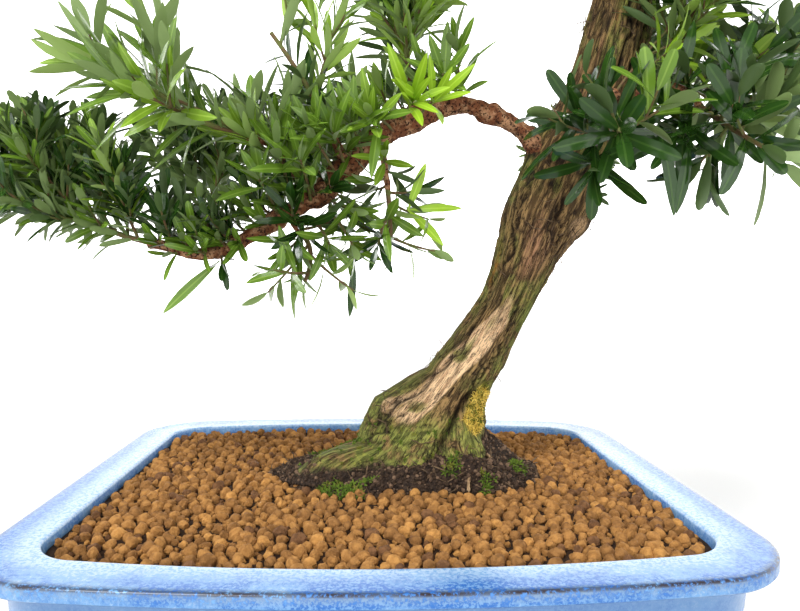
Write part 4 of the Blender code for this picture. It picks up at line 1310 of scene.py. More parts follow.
@dataclass
class Boughs:
    """The boughs and side limbs in rough bark, each chain of following limbs as one piece."""

    sides: int = 36
    ring_spacing: float = 0.0012
    lump: float = 0.00105
    collar: float = 0.35
    side_limb: float = 0.78
    hanging: float = 0.62
    bark: BoughFinish = BoughFinish()
    lines: dict[str, Tube] = field(default_factory=dict)

    def limb_line(self, limb: Limb, spacing: float) -> Tube:
        """A limb's centre line at a spacing, which starts at its parent's tip if it follows it."""
        route = [rim_place(place) for place in limb.route]
        parent = self.lines[limb.parent]
        if limb.follows:
            route.insert(0, parent.points[-1] + parent.directions[-1] * GAP)
        points = spline(route, max(2, round(length_of(route) / spacing) + 1))
        line = Tube(points=points, directions=directions_along(points))
        if limb.follows:
            line.directions[0] = parent.directions[-1].copy()
        last = len(points) - 1
        slim = self.hanging if limb.name in ("under_limb", "hanging_limb") else self.side_limb
        slim = slim if limb.name.endswith("_limb") else 1.0
        for index, point in enumerate(points):
            radius = limb.start_radius + (limb.end_radius - limb.start_radius) * index / last
            if limb.name in LEFT_BOUGH:
                radius += sum(rise * bell(point.x, middle, width) for middle, rise, width in KNUCKLES)
            line.radii.append(radius * slim)
        return line

    def bark_tube(self, name: str, line: Tube, seed: int, flared: bool) -> Any:
        """A mesh of one limb with lumps, cracks and leaf scars.

        Args:
            name: Name of the mesh.
            line: The limb's centre line.
            seed: Seed of the bark.
            flared: Whether the limb widens into its parent.

        Returns:
            The mesh, with the depth of its cracks stored on its points.
        """
        frames = frames_along(line.directions, perpendicular(line.directions[0]))
        rings = len(line.points)
        around = np.linspace(0, 1, self.sides, endpoint=False)[None, :] + np.zeros((rings, 1))
        steps = np.linspace(0, 1, rings)[:, None] + around * 0
        length = length_of(line.points)
        rows = max(4, round(length / 0.006))
        fine_rows = max(6, round(length / 0.0026))
        lumps = wave_field(around, steps, (5, rows), seed)
        plates = wave_field(around, steps, (9, fine_rows), seed + 1)
        grit = wave_field(around, steps, (18, fine_rows * 2), seed + 2)
        crack = smooth_step(np.abs(plates), 0.20, 0.0) * smooth_step(grit, -0.6, 0.5)
        radius = np.array(line.radii)[:, None]
        relief = self.lump * (lumps * 1.1 + plates * 0.6 + grit * 0.35 - 0.9 * crack)
        relief = relief * np.clip(radius / 0.006, 0.45, 1.2)
        if flared:
            radius = radius * (1 + self.collar * np.exp(-steps * length / 0.006))
        tip = np.sqrt(np.clip((1 - steps) * length / 0.0016, 0.05, 1.0))
        centre = np.array([tuple(point) for point in line.points])[:, None]
        side = np.array([tuple(frame[0]) for frame in frames])[:, None]
        other = np.array([tuple(frame[1]) for frame in frames])[:, None]
        angle = (around * 2 * math.pi)[..., None]
        reach = ((radius + relief) * tip)[..., None]
        points = centre + reach * (np.cos(angle) * side + np.sin(angle) * other)
        mesh = mesh_of_quads(name, points.reshape(-1, 3), ring_faces(rings, self.sides))
        cap_rings(mesh, self.sides)
        set_attribute(mesh, "crack", crack * 0.8)
        return mesh

    def build(self, trunk: Tube) -> None:
        """Builds every limb from the trunk outwards."""
        self.lines["trunk"] = trunk
        for limb in LIMBS:
            self.lines[limb.name] = self.limb_line(limb, self.ring_spacing)
        material = self.bark.material()
        followers = {limb.parent: limb.name for limb in LIMBS if limb.follows}
        for index, limb in enumerate(LIMBS):
            if limb.follows:
                continue
            names = [limb.name]
            while names[-1] in followers:
                names.append(followers[names[-1]])
            line = Tube()
            for name in names:
                part = self.lines[name]
                line.points += part.points
                line.radii += part.radii
            line.directions = directions_along(line.points)
            mesh = self.bark_tube(limb.name + "_bark", line, 100 + index * 7, flared=True)
            dress(link_mesh(limb.name + "_bark", mesh, [material]), "bough_bark", *names)


ROSETTES = (
    Rosette("right_front_foliage", (0.1235, -0.028, 0.2035), (0.1030, -0.050, 0.2105), BROAD, LeafTone.DARK, 8, 0.92),
    Rosette("right_front_foliage", (0.1235, -0.028, 0.2025), (0.1130, -0.050, 0.1810), BROAD, LeafTone.DARK, 10, 1.0),
    Rosette("right_front_foliage", (0.1245, -0.028, 0.2035), (0.1515, -0.044, 0.2125), BROAD, LeafTone.DARK, 9, 1.1),
    Rosette("right_low_foliage", (0.1810, -0.032, 0.2200), (0.1600, -0.052, 0.2020), BROAD, LeafTone.DARK, 8, 1.2),
    Rosette("right_top_foliage", (0.1350, -0.017, 0.2300), (0.1690, -0.030, 0.2720), FRONT, LeafTone.YOUNG, 8, 0.75),
    Rosette("left_front_foliage", (-0.0740, -0.058, 0.1930), (-0.1210, -0.090, 0.2100), FRONT, LeafTone.GREEN, 12, 1.05),
    Rosette("left_front_foliage", (-0.0800, -0.060, 0.1945), (-0.1010, -0.078, 0.1960), FRONT, LeafTone.GREEN, 8, 0.8),
    Rosette("left_middle_foliage", (-0.0400, -0.025, 0.1680), (-0.0710, -0.060, 0.1920), FRONT, LeafTone.BRIGHT, 9, 0.9, 34),
    Rosette("left_middle_foliage", (-0.0520, -0.030, 0.1600), (-0.0565, -0.060, 0.1863), FRONT, LeafTone.GREEN, 9, 0.9, 30),
    Rosette("left_middle_foliage", (-0.0420, -0.028, 0.1640), (-0.0451, -0.060, 0.1813), FRONT, LeafTone.GREEN, 8, 0.9, 48),
    Rosette("left_middle_foliage", (-0.0600, -0.030, 0.1550), (-0.0667, -0.058, 0.1713), FRONT, LeafTone.GREEN, 8, 0.8, 44),
    Rosette("left_middle_foliage", (-0.0250, -0.024, 0.1720), (-0.0394, -0.055, 0.1953), FRONT, LeafTone.GREEN, 9, 0.9, 34),
    Rosette("left_inner_foliage", (-0.0220, -0.022, 0.1800), (-0.0289, -0.055, 0.1969), FRONT, LeafTone.GREEN, 9, 0.9, 30),
    Rosette("left_inner_foliage", (-0.0120, -0.020, 0.1880), (-0.0196, -0.050, 0.2046), FRONT, LeafTone.GREEN, 9, 0.85, 36),
    Rosette("left_inner_foliage", (-0.0020, -0.018, 0.1960), (-0.0079, -0.050, 0.2060), FRONT, LeafTone.BRIGHT, 9, 0.9, 32),
    Rosette("left_inner_foliage", (0.0060, -0.014, 0.2040), (-0.0057, -0.050, 0.2063), FRONT, LeafTone.GREEN, 6, 0.9, 60),
    Rosette("left_inner_foliage", (0.0100, -0.013, 0.2110), (0.0134, -0.050, 0.2150), FRONT, LeafTone.YOUNG, 8, 1.15, 24),
    Rosette("left_inner_foliage", (0.0180, -0.012, 0.2120), (0.0253, -0.046, 0.2165), FRONT, LeafTone.YOUNG, 7, 1.0, 40),
    Rosette("left_inner_foliage", (0.0360, -0.010, 0.2235), (0.0310, -0.040, 0.2330), FRONT, LeafTone.GREEN, 8, 0.8, 50),
    Rosette("under_foliage", (-0.0380, -0.032, 0.1500), (-0.0303, -0.044, 0.1384), SPARSE, LeafTone.GREEN, 9, 1.0, 74),
    Rosette("under_foliage", (-0.0440, -0.034, 0.1520), (-0.0468, -0.046, 0.1436), SPARSE, LeafTone.DARK, 9, 0.9, 70),
    Rosette("under_foliage", (-0.0300, -0.028, 0.1560), (-0.0167, -0.036, 0.1362), SPARSE, LeafTone.GREEN, 9, 0.9, 74),
    Rosette("hanging_foliage", (0.0010, -0.018, 0.1560), (-0.0037, -0.034, 0.1391), SPARSE, LeafTone.DARK, 8, 0.9, 70),
    Rosette("right_top_foliage", (0.1500, -0.020, 0.2500), (0.1690, -0.036, 0.2560), FRONT, LeafTone.YOUNG, 10, 0.95, 50),
    Rosette("right_top_foliage", (0.1500, -0.020, 0.2400), (0.1570, -0.038, 0.2480), MIDDLE, LeafTone.YOUNG, 9, 0.9, 50),
)
LONE_LEAVES = (
    LoneLeaf("hanging_foliage", (0.0137, -0.020, 0.1601), (0.0233, -0.022, 0.1863), 0.0056, LeafTone.YOUNG),
    LoneLeaf("hanging_foliage", (0.0137, -0.020, 0.1601), (0.0441, -0.024, 0.1612), 0.0050, LeafTone.YOUNG),
    LoneLeaf("hanging_foliage", (0.0137, -0.020, 0.1601), (0.0338, -0.026, 0.1395), 0.0058, LeafTone.YOUNG),
    LoneLeaf("under_foliage", (-0.0490, -0.035, 0.1380), (-0.0500, -0.036, 0.0965), 0.0046, LeafTone.GREEN,
             facing=(-0.6, -0.5, 0.3)),
    LoneLeaf("hanging_foliage", (-0.0170, -0.030, 0.1300), (-0.0195, -0.032, 0.0980), 0.0046, LeafTone.DARK),
    LoneLeaf("left_tip_foliage", (-0.0925, -0.031, 0.1290), (-0.1230, -0.034, 0.0995), 0.0060, LeafTone.GREEN),
    LoneLeaf("left_inner_foliage", (0.0840, -0.004, 0.2060), (0.0560, -0.006, 0.1596), 0.0022, LeafTone.DARK,
             facing=(-0.8, 0.1, 0.5), droop=0.16),
    LoneLeaf("left_inner_foliage", (0.0900, -0.004, 0.2010), (0.0654, -0.006, 0.1518), 0.0022, LeafTone.DARK,
             facing=(-0.8, 0.1, 0.5), droop=0.14),
    LoneLeaf("right_low_foliage", (0.1459, -0.055, 0.2049), (0.1539, -0.060, 0.1548), 0.0076, LeafTone.DARK),
    LoneLeaf("right_low_foliage", (0.1632, -0.055, 0.1967), (0.1549, -0.060, 0.1564), 0.0068, LeafTone.DARK),
    LoneLeaf("right_top_foliage", (0.1575, -0.050, 0.2257), (0.1655, -0.052, 0.2606), 0.0070, LeafTone.DARK),
    LoneLeaf("left_inner_foliage", (0.0860, -0.006, 0.2060), (0.0740, -0.012, 0.1880), 0.0024, LeafTone.DARK,
             facing=(-0.8, 0.1, 0.5)),
)


@dataclass(frozen=True)
class Tufts:
    """Leafy shoots that rise along a stretch of limbs: how far apart and long they are, and their leaves."""

    mass: str
    limbs: tuple[str, ...]
    stretch: tuple[float, float]
    spacing: float
    lengths: tuple[float, float]
    kind: LeafKind
    tones: tuple[float, float, float, float]
    sides: tuple[float, ...] = (-55.0, 10.0, 50.0, -20.0)
    lean: float = 0.35


FRONT_SIDE = (-75.0, -40.0, -100.0, -60.0)
ALL_SIDES = (-90.0, 60.0, -140.0, 130.0, 0.0)
TUFTS = (
    Tufts("left_middle_foliage", LEFT_BOUGH, (0.60, 0.76), 0.0100, (0.010, 0.022), MIDDLE,
          (0.22, 0.48, 0.26, 0.04), FRONT_SIDE),
    Tufts("left_rise_foliage", LEFT_BOUGH, (0.80, 0.99), 0.0085, (0.006, 0.014), FINE,
          (0.50, 0.42, 0.08, 0.0), (-100.0, -60.0, -130.0)),
    Tufts("hanging_foliage", ("hanging_limb",), (0.45, 0.99), 0.0050, (0.010, 0.026), MIDDLE,
          (0.30, 0.46, 0.22, 0.02), ALL_SIDES),
    Tufts("under_foliage", ("under_limb",), (0.30, 0.99), 0.0045, (0.010, 0.026), MIDDLE,
          (0.30, 0.46, 0.22, 0.02), ALL_SIDES),
    Tufts("left_inner_foliage", LEFT_BOUGH, (0.24, 0.50), 0.0060, (0.012, 0.034), MIDDLE, (0.25, 0.42, 0.24, 0.09)),
    Tufts("left_middle_foliage", LEFT_BOUGH, (0.50, 0.68), 0.0050, (0.012, 0.030), MIDDLE,
          (0.26, 0.44, 0.24, 0.06)),
    Tufts("left_rise_foliage", LEFT_BOUGH, (0.68, 0.99), 0.0048, (0.010, 0.026), FINE, (0.46, 0.42, 0.11, 0.01)),
    Tufts("left_front_foliage", ("left_front_limb",), (0.35, 0.98), 0.0060, (0.008, 0.020), FRONT,
          (0.14, 0.46, 0.34, 0.06)),
    Tufts("left_middle_foliage", ("left_middle_limb",), (0.3, 0.98), 0.0060, (0.008, 0.020), MIDDLE,
          (0.14, 0.46, 0.34, 0.06)),
    Tufts("right_tip_foliage", ("right_bough",), (0.45, 0.98), 0.0070, (0.008, 0.018), BROAD,
          (0.60, 0.34, 0.06, 0.0)),
    Tufts("upper_left_foliage", ("upper_left_bough",), (0.4, 0.98), 0.0070, (0.010, 0.026), MIDDLE,
          (0.40, 0.44, 0.14, 0.02)),
)


@dataclass(frozen=True)
class OpenSky:
    """A place where the crown stays open: an ellipse on the upright plane through the bough."""

    x: float
    height: float
    half_width: float
    half_height: float


SKY_PLANE = -0.03
OPEN_SKY = (
    OpenSky(-0.0840, 0.2720, 0.0290, 0.0370),
    OpenSky(0.0865, 0.2600, 0.0240, 0.0420),
)


@dataclass(frozen=True)
class Growth:
    """How one mass grows: its kind of leaf, the share of each tone, and how its shoots stand."""

    kind: LeafKind = MIDDLE
    tones: tuple[float, float, float, float] = (0.38, 0.44, 0.15, 0.03)
    shoots: float = 1.2
    rise: float = 0.55
    stem_share: float = 1.0


GROWTH = {
    "left_tip_foliage": Growth(FINE, (0.56, 0.36, 0.07, 0.01), 2.2, 0.7),
    "left_rise_foliage": Growth(FINE, (0.50, 0.40, 0.09, 0.01), 1.8, 0.7),
    "left_back_foliage": Growth(FINE, (0.60, 0.34, 0.06, 0.0), 1.6),
    "left_front_foliage": Growth(FRONT, (0.20, 0.48, 0.27, 0.05), 0.8, 0.4),
    "left_middle_foliage": Growth(MIDDLE, (0.12, 0.32, 0.40, 0.16), 0.9, 0.9),
    "left_inner_foliage": Growth(MIDDLE, (0.14, 0.36, 0.36, 0.14), 1.5, 0.7),
    "hanging_foliage": Growth(SPARSE, (0.10, 0.44, 0.38, 0.08), 0.8, 0.0, 0.1),
    "under_foliage": Growth(SPARSE, (0.20, 0.50, 0.27, 0.03), 0.8, 0.0, 0.1),
    "right_front_foliage": Growth(BROAD, (0.70, 0.27, 0.03, 0.0), 0.5),
    "right_low_foliage": Growth(BROAD, (0.66, 0.30, 0.04, 0.0), 1.4),
    "right_tip_foliage": Growth(BROAD, (0.56, 0.36, 0.08, 0.0), 1.8),
    "right_top_foliage": Growth(MIDDLE, (0.36, 0.40, 0.18, 0.06), 1.8),
    "right_back_foliage": Growth(MIDDLE, (0.66, 0.30, 0.04, 0.0), 1.9),
    "back_low_foliage": Growth(FINE, (0.64, 0.32, 0.04, 0.0), 1.5),
}


@dataclass(frozen=True)
class Mass:
    """A mass of foliage: its limb, its egg-shaped space, its shoots and its seed."""

    name: str
    limb: str
    centre: tuple[float, float, float]
    reach: tuple[float, float, float]
    shoots: int
    seed: int

    @property
    def growth(self) -> Growth:
        """How this mass grows."""
        return GROWTH.get(self.name, Growth())


MASSES = (
    Mass("left_tip_foliage", "left_bough_tip", (-0.192, -0.026, 0.172), (0.078, 0.060, 0.050), 7, 11),
    Mass("left_front_foliage", "left_front_limb", (-0.112, -0.086, 0.212), (0.060, 0.050, 0.050), 6, 12),
    Mass("left_rise_foliage", "left_rise_limb", (-0.106, 0.012, 0.188), (0.060, 0.056, 0.050), 5, 13),
    Mass("left_middle_foliage", "left_middle_limb", (-0.048, -0.050, 0.228), (0.056, 0.052, 0.056), 6, 14),
    Mass("left_inner_foliage", "left_inner_limb", (0.016, -0.022, 0.262), (0.062, 0.052, 0.050), 6, 15),
    Mass("left_back_foliage", "left_back_limb", (-0.048, 0.076, 0.214), (0.072, 0.058, 0.050), 6, 16),
    Mass("hanging_foliage", "hanging_limb", (0.004, -0.020, 0.142), (0.056, 0.048, 0.054), 5, 17),
    Mass("under_foliage", "under_limb", (-0.044, -0.040, 0.120), (0.054, 0.050, 0.050), 4, 18),
    Mass("right_tip_foliage", "right_bough", (0.226, -0.008, 0.240), (0.064, 0.060, 0.054), 6, 21),
    Mass("right_front_foliage", "right_front_limb", (0.118, -0.066, 0.198), (0.058, 0.050, 0.052), 6, 22),
    Mass("right_low_foliage", "right_low_limb", (0.188, -0.058, 0.202), (0.058, 0.054, 0.056), 5, 23),
    Mass("right_top_foliage", "right_top_limb", (0.176, -0.044, 0.278), (0.056, 0.050, 0.050), 5, 24),
    Mass("right_back_foliage", "right_back_limb", (0.202, 0.080, 0.268), (0.062, 0.058, 0.050), 6, 25),
    Mass("back_low_foliage", "back_low_limb", (0.150, 0.096, 0.214), (0.056, 0.056, 0.050), 5, 26),
    Mass("upper_left_foliage", "upper_left_bough", (-0.028, 0.038, 0.334), (0.074, 0.062, 0.052), 6, 31),
    Mass("upper_left_front_foliage", "upper_left_front_limb", (0.036, -0.060, 0.356),
         (0.062, 0.054, 0.048), 5, 32),
    Mass("upper_right_foliage", "upper_right_bough", (0.230, -0.012, 0.340), (0.062, 0.060, 0.052), 6, 33),
    Mass("upper_back_foliage", "upper_back_bough", (0.088, 0.098, 0.372), (0.070, 0.062, 0.050), 6, 34),
    Mass("upper_front_foliage", "upper_front_bough", (0.142, -0.080, 0.360), (0.062, 0.056, 0.048), 5, 35),
    Mass("apex_left_foliage", "apex_left_limb", (0.006, 0.002, 0.422), (0.062, 0.060, 0.050), 5, 36),
    Mass("apex_right_foliage", "apex_right_limb", (0.178, 0.008, 0.418), (0.062, 0.060, 0.050), 5, 37),
    Mass("apex_foliage", "trunk", (0.076, 0.000, 0.476), (0.066, 0.062, 0.052), 7, 38),
)


@dataclass(frozen=True)
class Twig:
    """A twig: its centre line and its radius at both ends."""

    path: list[Vector]
    start: float
    end: float


@dataclass
class Foliage:
    """The masses of foliage, grown from the limbs by the same rule as the solids, but finer."""

    lines: dict[str, Tube]
    low: Vector
    high: Vector
    stem_radius: float = 0.0016
    stem_end_radius: float = 0.0011
    shoot_radius: float = 0.0010
    twig_radius: float = 0.0007
    tip_radius: float = 0.0005
    twig_sides: int = 7
    stem_steps: int = 2
    fine_steps: int = 8
    shoot_lean: float = 0.55
    shoot_curl: float = 0.15
    shortest_shoot: float = 0.014
    longest_shoot: float = 0.064
    first_shoot: float = 0.7
    shoots_end: float = 0.92
    leaf_room: float = 0.034
    room_shares: tuple[float, float] = (0.75, 1.0)
    twig_lengths: tuple[float, float] = (0.010, 0.022)
    bare_below: float = 0.94
    tip_length: float = 0.004
    arch: float = 0.03
    blades: dict[LeafShape, Any] = field(default_factory=dict)
    leaf_count: int = 0

    def way_out(self, mass: Mass, start: Vector, direction: Vector) -> float:
        """How far a point can go in a direction before it leaves the mass's space."""
        offset = [(a - c) / r for a, c, r in zip(start, rim_place(mass.centre), mass.reach)]
        step = [d / r for d, r in zip(direction, mass.reach)]
        a = sum(value * value for value in step)
        b = sum(o * d for o, d in zip(offset, step))
        c = sum(value * value for value in offset) - 1.0
        return (-b + math.sqrt(max(b * b - a * c, 0.0))) / a

    def inside(self, mass: Mass, point: Vector) -> bool:
        """Whether a point lies in a mass's space and in the object's box."""
        total = 0.0
        for value, centre, reach in zip(point, rim_place(mass.centre), mass.reach):
            total += ((value - centre) / reach) ** 2
        return total <= 1.0 and self.in_box(point)

    def in_box(self, point: Vector) -> bool:
        """Whether a point lies a little inside the object's box."""
        room = 0.0006
        return all(low + room <= value <= high - room for low, value, high in zip(self.low, point, self.high))

    @staticmethod
    def in_open_sky(point: Vector) -> bool:
        """Whether a point hides a place where the crown is open, as seen from the front."""
        eye = Vector(PhotoCamera().place)
        share = (SKY_PLANE - eye.y) / (point.y - eye.y)
        seen = eye + (point - eye) * share
        for sky in OPEN_SKY:
            across = (seen.x - sky.x) / sky.half_width
            rise = (seen.z - RIM - sky.height) / sky.half_height
            if across * across + rise * rise < 1:
                return True
        return False

    @staticmethod
    def bent_path(start: Vector, first: Vector, end: Vector, steps: int, bend: float = 0.45) -> list[Vector]:
        """A curved path that leaves in one direction and ends at a point."""
        control = start + first * (end - start).length * bend
        points = []
        for index in range(steps + 1):
            t = index / steps
            points.append(start * (1 - t) ** 2 + control * 2 * t * (1 - t) + end * t * t)
        return points

    @staticmethod
    def point_on(path: Sequence[Vector], share: float) -> tuple[Vector, Vector]:
        """The point and direction at a share of the way along a path of straight pieces."""
        place = share * (len(path) - 1)
        span = min(int(place), len(path) - 2)
        direction = (path[span + 1] - path[span]).normalized()
        return path[span].lerp(path[span + 1], place - span), direction

    def stem(self, mass: Mass) -> tuple[list[Vector], list[Vector]]:
        """The mass's stem in the source's few steps, and the same curve in fine ones."""
        line = self.lines[mass.limb]
        direction = line.directions[-1]
        root = line.points[-1] + direction * GAP
        centre = rim_place(mass.centre)
        onward = (centre - root).normalized()
        room = min(self.leaf_room, mass.growth.kind.length * 1.05)
        onward_reach = max(self.way_out(mass, centre, onward) - room, 0.0)
        end = centre + onward * onward_reach * mass.growth.stem_share
        coarse = self.bent_path(root, direction, end, self.stem_steps)
        return coarse, self.bent_path(root - direction * 0.002, direction, end, self.fine_steps)

    def shoots(self, mass: Mass, stem: list[Vector], rng: random.Random) -> list[list[Vector]]:
        """Shoots that leave the stem in turn on all sides and lean up and outward."""
        paths = []
        turn = rng.uniform(0, 2 * math.pi)
        count = round(mass.shoots * mass.growth.shoots)
        for index in range(count):
            start, axis = self.point_on(stem, (index + self.first_shoot) / count * self.shoots_end)
            turn += GOLDEN_ANGLE
            side = Quaternion(axis, turn) @ perpendicular(axis)
            onward = (side + axis * self.shoot_lean + Vector((0, 0, mass.growth.rise))).normalized()
            room = min(self.leaf_room, mass.growth.kind.length * 1.05)
            length = self.way_out(mass, start, onward) - room * rng.uniform(*self.room_shares)
            length = min(max(length, self.shortest_shoot), self.longest_shoot)
            end = start + onward * length + Vector((0, 0, self.shoot_curl * length))
            paths.append(self.bent_path(start, onward, end, self.fine_steps))
        return paths

    def side_twigs(self, mass: Mass, path: list[Vector], rng: random.Random) -> list[list[Vector]]:
        """Short twigs along a shoot, in turn on all its sides."""
        kind = mass.growth.kind
        length = length_of(path)
        paths = []
        turn = rng.uniform(0, 2 * math.pi)
        along = kind.twig_spacing
        while 0 < along < length * 0.92:
            start, axis = self.point_on(path, along / length)
            turn += GOLDEN_ANGLE
            side = Quaternion(axis, turn) @ perpendicular(axis)
            onward = (side + axis * 1.1 + Vector((0, 0, 0.5))).normalized()
            size = rng.uniform(*self.twig_lengths)
            size = min(size, self.way_out(mass, start, onward) - kind.length * 0.6)
            if size > self.twig_lengths[0] * 0.6:
                end = start + onward * size + Vector((0, 0, 0.2 * size))
                paths.append(self.bent_path(start, onward, end, 4))
            along += kind.twig_spacing * rng.uniform(0.8, 1.3)
        return paths

    def spray(self, kind: LeafKind, tones: Sequence[float], path: list[Vector], rng: random.Random,
              allowed: Callable[[Vector], bool]) -> list[Leaf]:
        """Leaves round one shoot or twig, from its tip down.

        Args:
            kind: The kind of leaf.
            tones: The share of each tone.
            path: The shoot's centre line.
            rng: The mass's random source.
            allowed: Whether a leaf's tip may be at a place.

        Returns:
            The leaves.
        """
        length = length_of(path)
        tone = rng.choices(list(LeafTone), weights=tones)[0]
        found = []
        turn = rng.uniform(0, 2 * math.pi)
        along = 0.0006
        while along < length * self.bare_below:
            root, axis = self.point_on(path, 1 - along / length)
            turn += GOLDEN_ANGLE
            outward = Quaternion(axis, turn) @ perpendicular(axis)
            opening = rng.uniform(*kind.opening) + kind.opening_growth * min(along / 0.03, 1.0)
            if along < self.tip_length:
                opening *= 0.4
            young = 0.72 + 0.28 * min(along / 0.008, 1.0)
            size = kind.length * rng.uniform(*kind.sizes) * young
            for extra, share in ((0, 1.0), (16, 0.92), (-16, 0.9), (30, 0.8), (0, 0.7)):
                angle = math.radians(max(opening + extra, 4))
                direction = axis * math.cos(angle) + outward * math.sin(angle)
                upper = axis * math.sin(angle) - outward * math.cos(angle)
                if not allowed(root + direction * size * share):
                    continue
                if self.blocked.ray_cast(root + direction * 0.002, direction, size * share)[0] is None:
                    width = kind.width * rng.uniform(0.82, 1.12) * (0.8 + 0.2 * share)
                    roll = Quaternion(direction, math.radians(rng.uniform(-26, 26)))
                    found.append(Leaf(root, direction, roll @ upper, size * share, width,
                                      rng.uniform(*kind.droop), tone, kind.shape))
                    break
            along += kind.spacing * rng.uniform(0.85, 1.2)
        return found

    def tuft_shoots(self, tufts: Tufts, rng: random.Random) -> list[list[Vector]]:
        """Shoots that rise from the upper side of a stretch of limbs."""
        line = Tube()
        for name in tufts.limbs:
            line.points += self.lines[name].points
            line.radii += self.lines[name].radii
        total = length_of(line.points)
        along = tufts.stretch[0] * total
        paths = []
        count = 0
        while along < tufts.stretch[1] * total:
            root, axis = self.point_on(line.points, along / total)
            up = perpendicular(axis)
            side = axis.cross(up) * (1 if axis.cross(up).y < 0 else -1)
            angle = math.radians(tufts.sides[count % len(tufts.sides)] + rng.uniform(-14, 14))
            outward = up * math.cos(angle) - side * math.sin(angle)
            onward = (outward + axis * tufts.lean).normalized()
            size = rng.uniform(*tufts.lengths)
            end = root + onward * size + Vector((0, 0, 0.25 * size))
            paths.append(self.bent_path(root, onward, end, 5))
            along += tufts.spacing * rng.uniform(0.7, 1.3)
            count += 1
        return paths

    def rosette(self, rosette: Rosette, rng: random.Random) -> tuple[list[Vector], list[Leaf]]:
        """The twig and leaves of a rosette, small and upright in its middle, large and open outside."""
        start, end = rim_place(rosette.start), rim_place(rosette.end)
        axis = (end - start).normalized()
        path = self.bent_path(start, (axis + Vector((0, 0, 0.25))).normalized(), end, self.fine_steps)
        kind = rosette.kind
        turn = rng.uniform(0, 2 * math.pi)
        found = []
        for index in range(rosette.leaves):
            age = (index + 1) / rosette.leaves
            turn += GOLDEN_ANGLE
            outward = Quaternion(axis, turn) @ perpendicular(axis)
            angle = math.radians(8 + rosette.opening * age ** 0.8 + rng.uniform(-6, 8))
            direction = axis * math.cos(angle) + outward * math.sin(angle)
            upper = axis * math.sin(angle) - outward * math.cos(angle)
            size = kind.length * rosette.size * (0.66 + 0.42 * age) * rng.uniform(0.9, 1.05)
            roll = Quaternion(direction, math.radians(rng.uniform(-18, 18)))
            width = kind.width * rng.uniform(0.9, 1.1) * (0.7 + 0.3 * age)
            found.append(Leaf(end - axis * 0.0012 * index, direction, roll @ upper, size, width,
                              rng.uniform(-0.02, 0.10), rosette.tone, kind.shape))
        return path, found

    @staticmethod
    def lone_leaf(lone: LoneLeaf) -> Leaf:
        """A leaf between two given ends."""
        root, tip = rim_place(lone.root), rim_place(lone.tip)
        upper = Vector(lone.facing).normalized()
        span = tip - root + upper * lone.droop * (tip - root).length
        along = span.normalized()
        upper = (upper - along * upper.dot(along)).normalized()
        return Leaf(root, along, upper, span.length, lone.width, lone.droop, lone.tone, LeafShape.LANCE)

    def leaf_mesh(self, name: str, leaves: Sequence[Leaf]) -> Any:
        """One mesh of a mass's leaves, grown on points that carry each leaf's direction and size."""
        points = bpy.data.meshes.new(name + "_points")
        points.vertices.add(len(leaves))
        points.vertices.foreach_set("co", np.array([leaf.root for leaf in leaves]).ravel())
        for label in ("along", "upper"):
            values = np.array([getattr(leaf, label) for leaf in leaves])
            points.attributes.new(label, "FLOAT_VECTOR", "POINT").data.foreach_set("vector", values.ravel())
        for label in ("length", "width", "droop"):
            values = np.array([getattr(leaf, label) for leaf in leaves])
            points.attributes.new(label, "FLOAT", "POINT").data.foreach_set("value", values)
        tones, shapes = list(LeafTone), list(LeafShape)
        for label, values in (("tone", [tones.index(leaf.tone) for leaf in leaves]),
                              ("shape", [shapes.index(leaf.shape) for leaf in leaves])):
            points.attributes.new(label, "INT", "POINT").data.foreach_set("value", np.array(values))
        host = link_mesh(name + "_points", points)
        mesh = self.leaf_growth.grow(host, name, {"Arch": self.arch})
        bpy.data.objects.remove(host)
        self.leaf_count += len(leaves)
        return mesh

    def twig_mesh(self, name: str, twigs: Sequence[Twig]) -> Any:
        """One mesh of a mass's twigs, swept along their lines."""
        places, girths, edges = [], [], []
        for twig in twigs:
            first = len(places)
            places += twig.path
            girths += list(np.linspace(twig.start, twig.end, len(twig.path)))
            edges += [(first + step, first + step + 1) for step in range(len(twig.path) - 1)]
        lines = bpy.data.meshes.new(name + "_lines")
        lines.from_pydata(places, edges, [])
        lines.attributes.new("girth", "FLOAT", "POINT").data.foreach_set("value", np.array(girths))
        host = link_mesh(name + "_lines", lines)
        mesh = self.twig_growth.grow(host, name, {"Sides": self.twig_sides, "Finish": self.twig_finish})
        bpy.data.objects.remove(host)
        return mesh

    def build_mass(self, mass: Mass) -> None:
        """Grows one mass and puts its twigs and leaves in place of its solid."""
        rng = random.Random(mass.seed)
        coarse, stem = self.stem(mass)
        twigs = [Twig(stem, self.stem_radius, self.stem_end_radius)]
        leaves = []
        kind, tones = mass.growth.kind, mass.growth.tones

        def in_space(tip: Vector) -> bool:
            """Whether a leaf's tip stays in the mass's space."""
            return self.inside(mass, tip) and not self.in_open_sky(tip)

        def in_view(tip: Vector) -> bool:
            """Whether a leaf's tip stays in the object's box and out of the open places."""
            return self.in_box(tip) and not self.in_open_sky(tip)

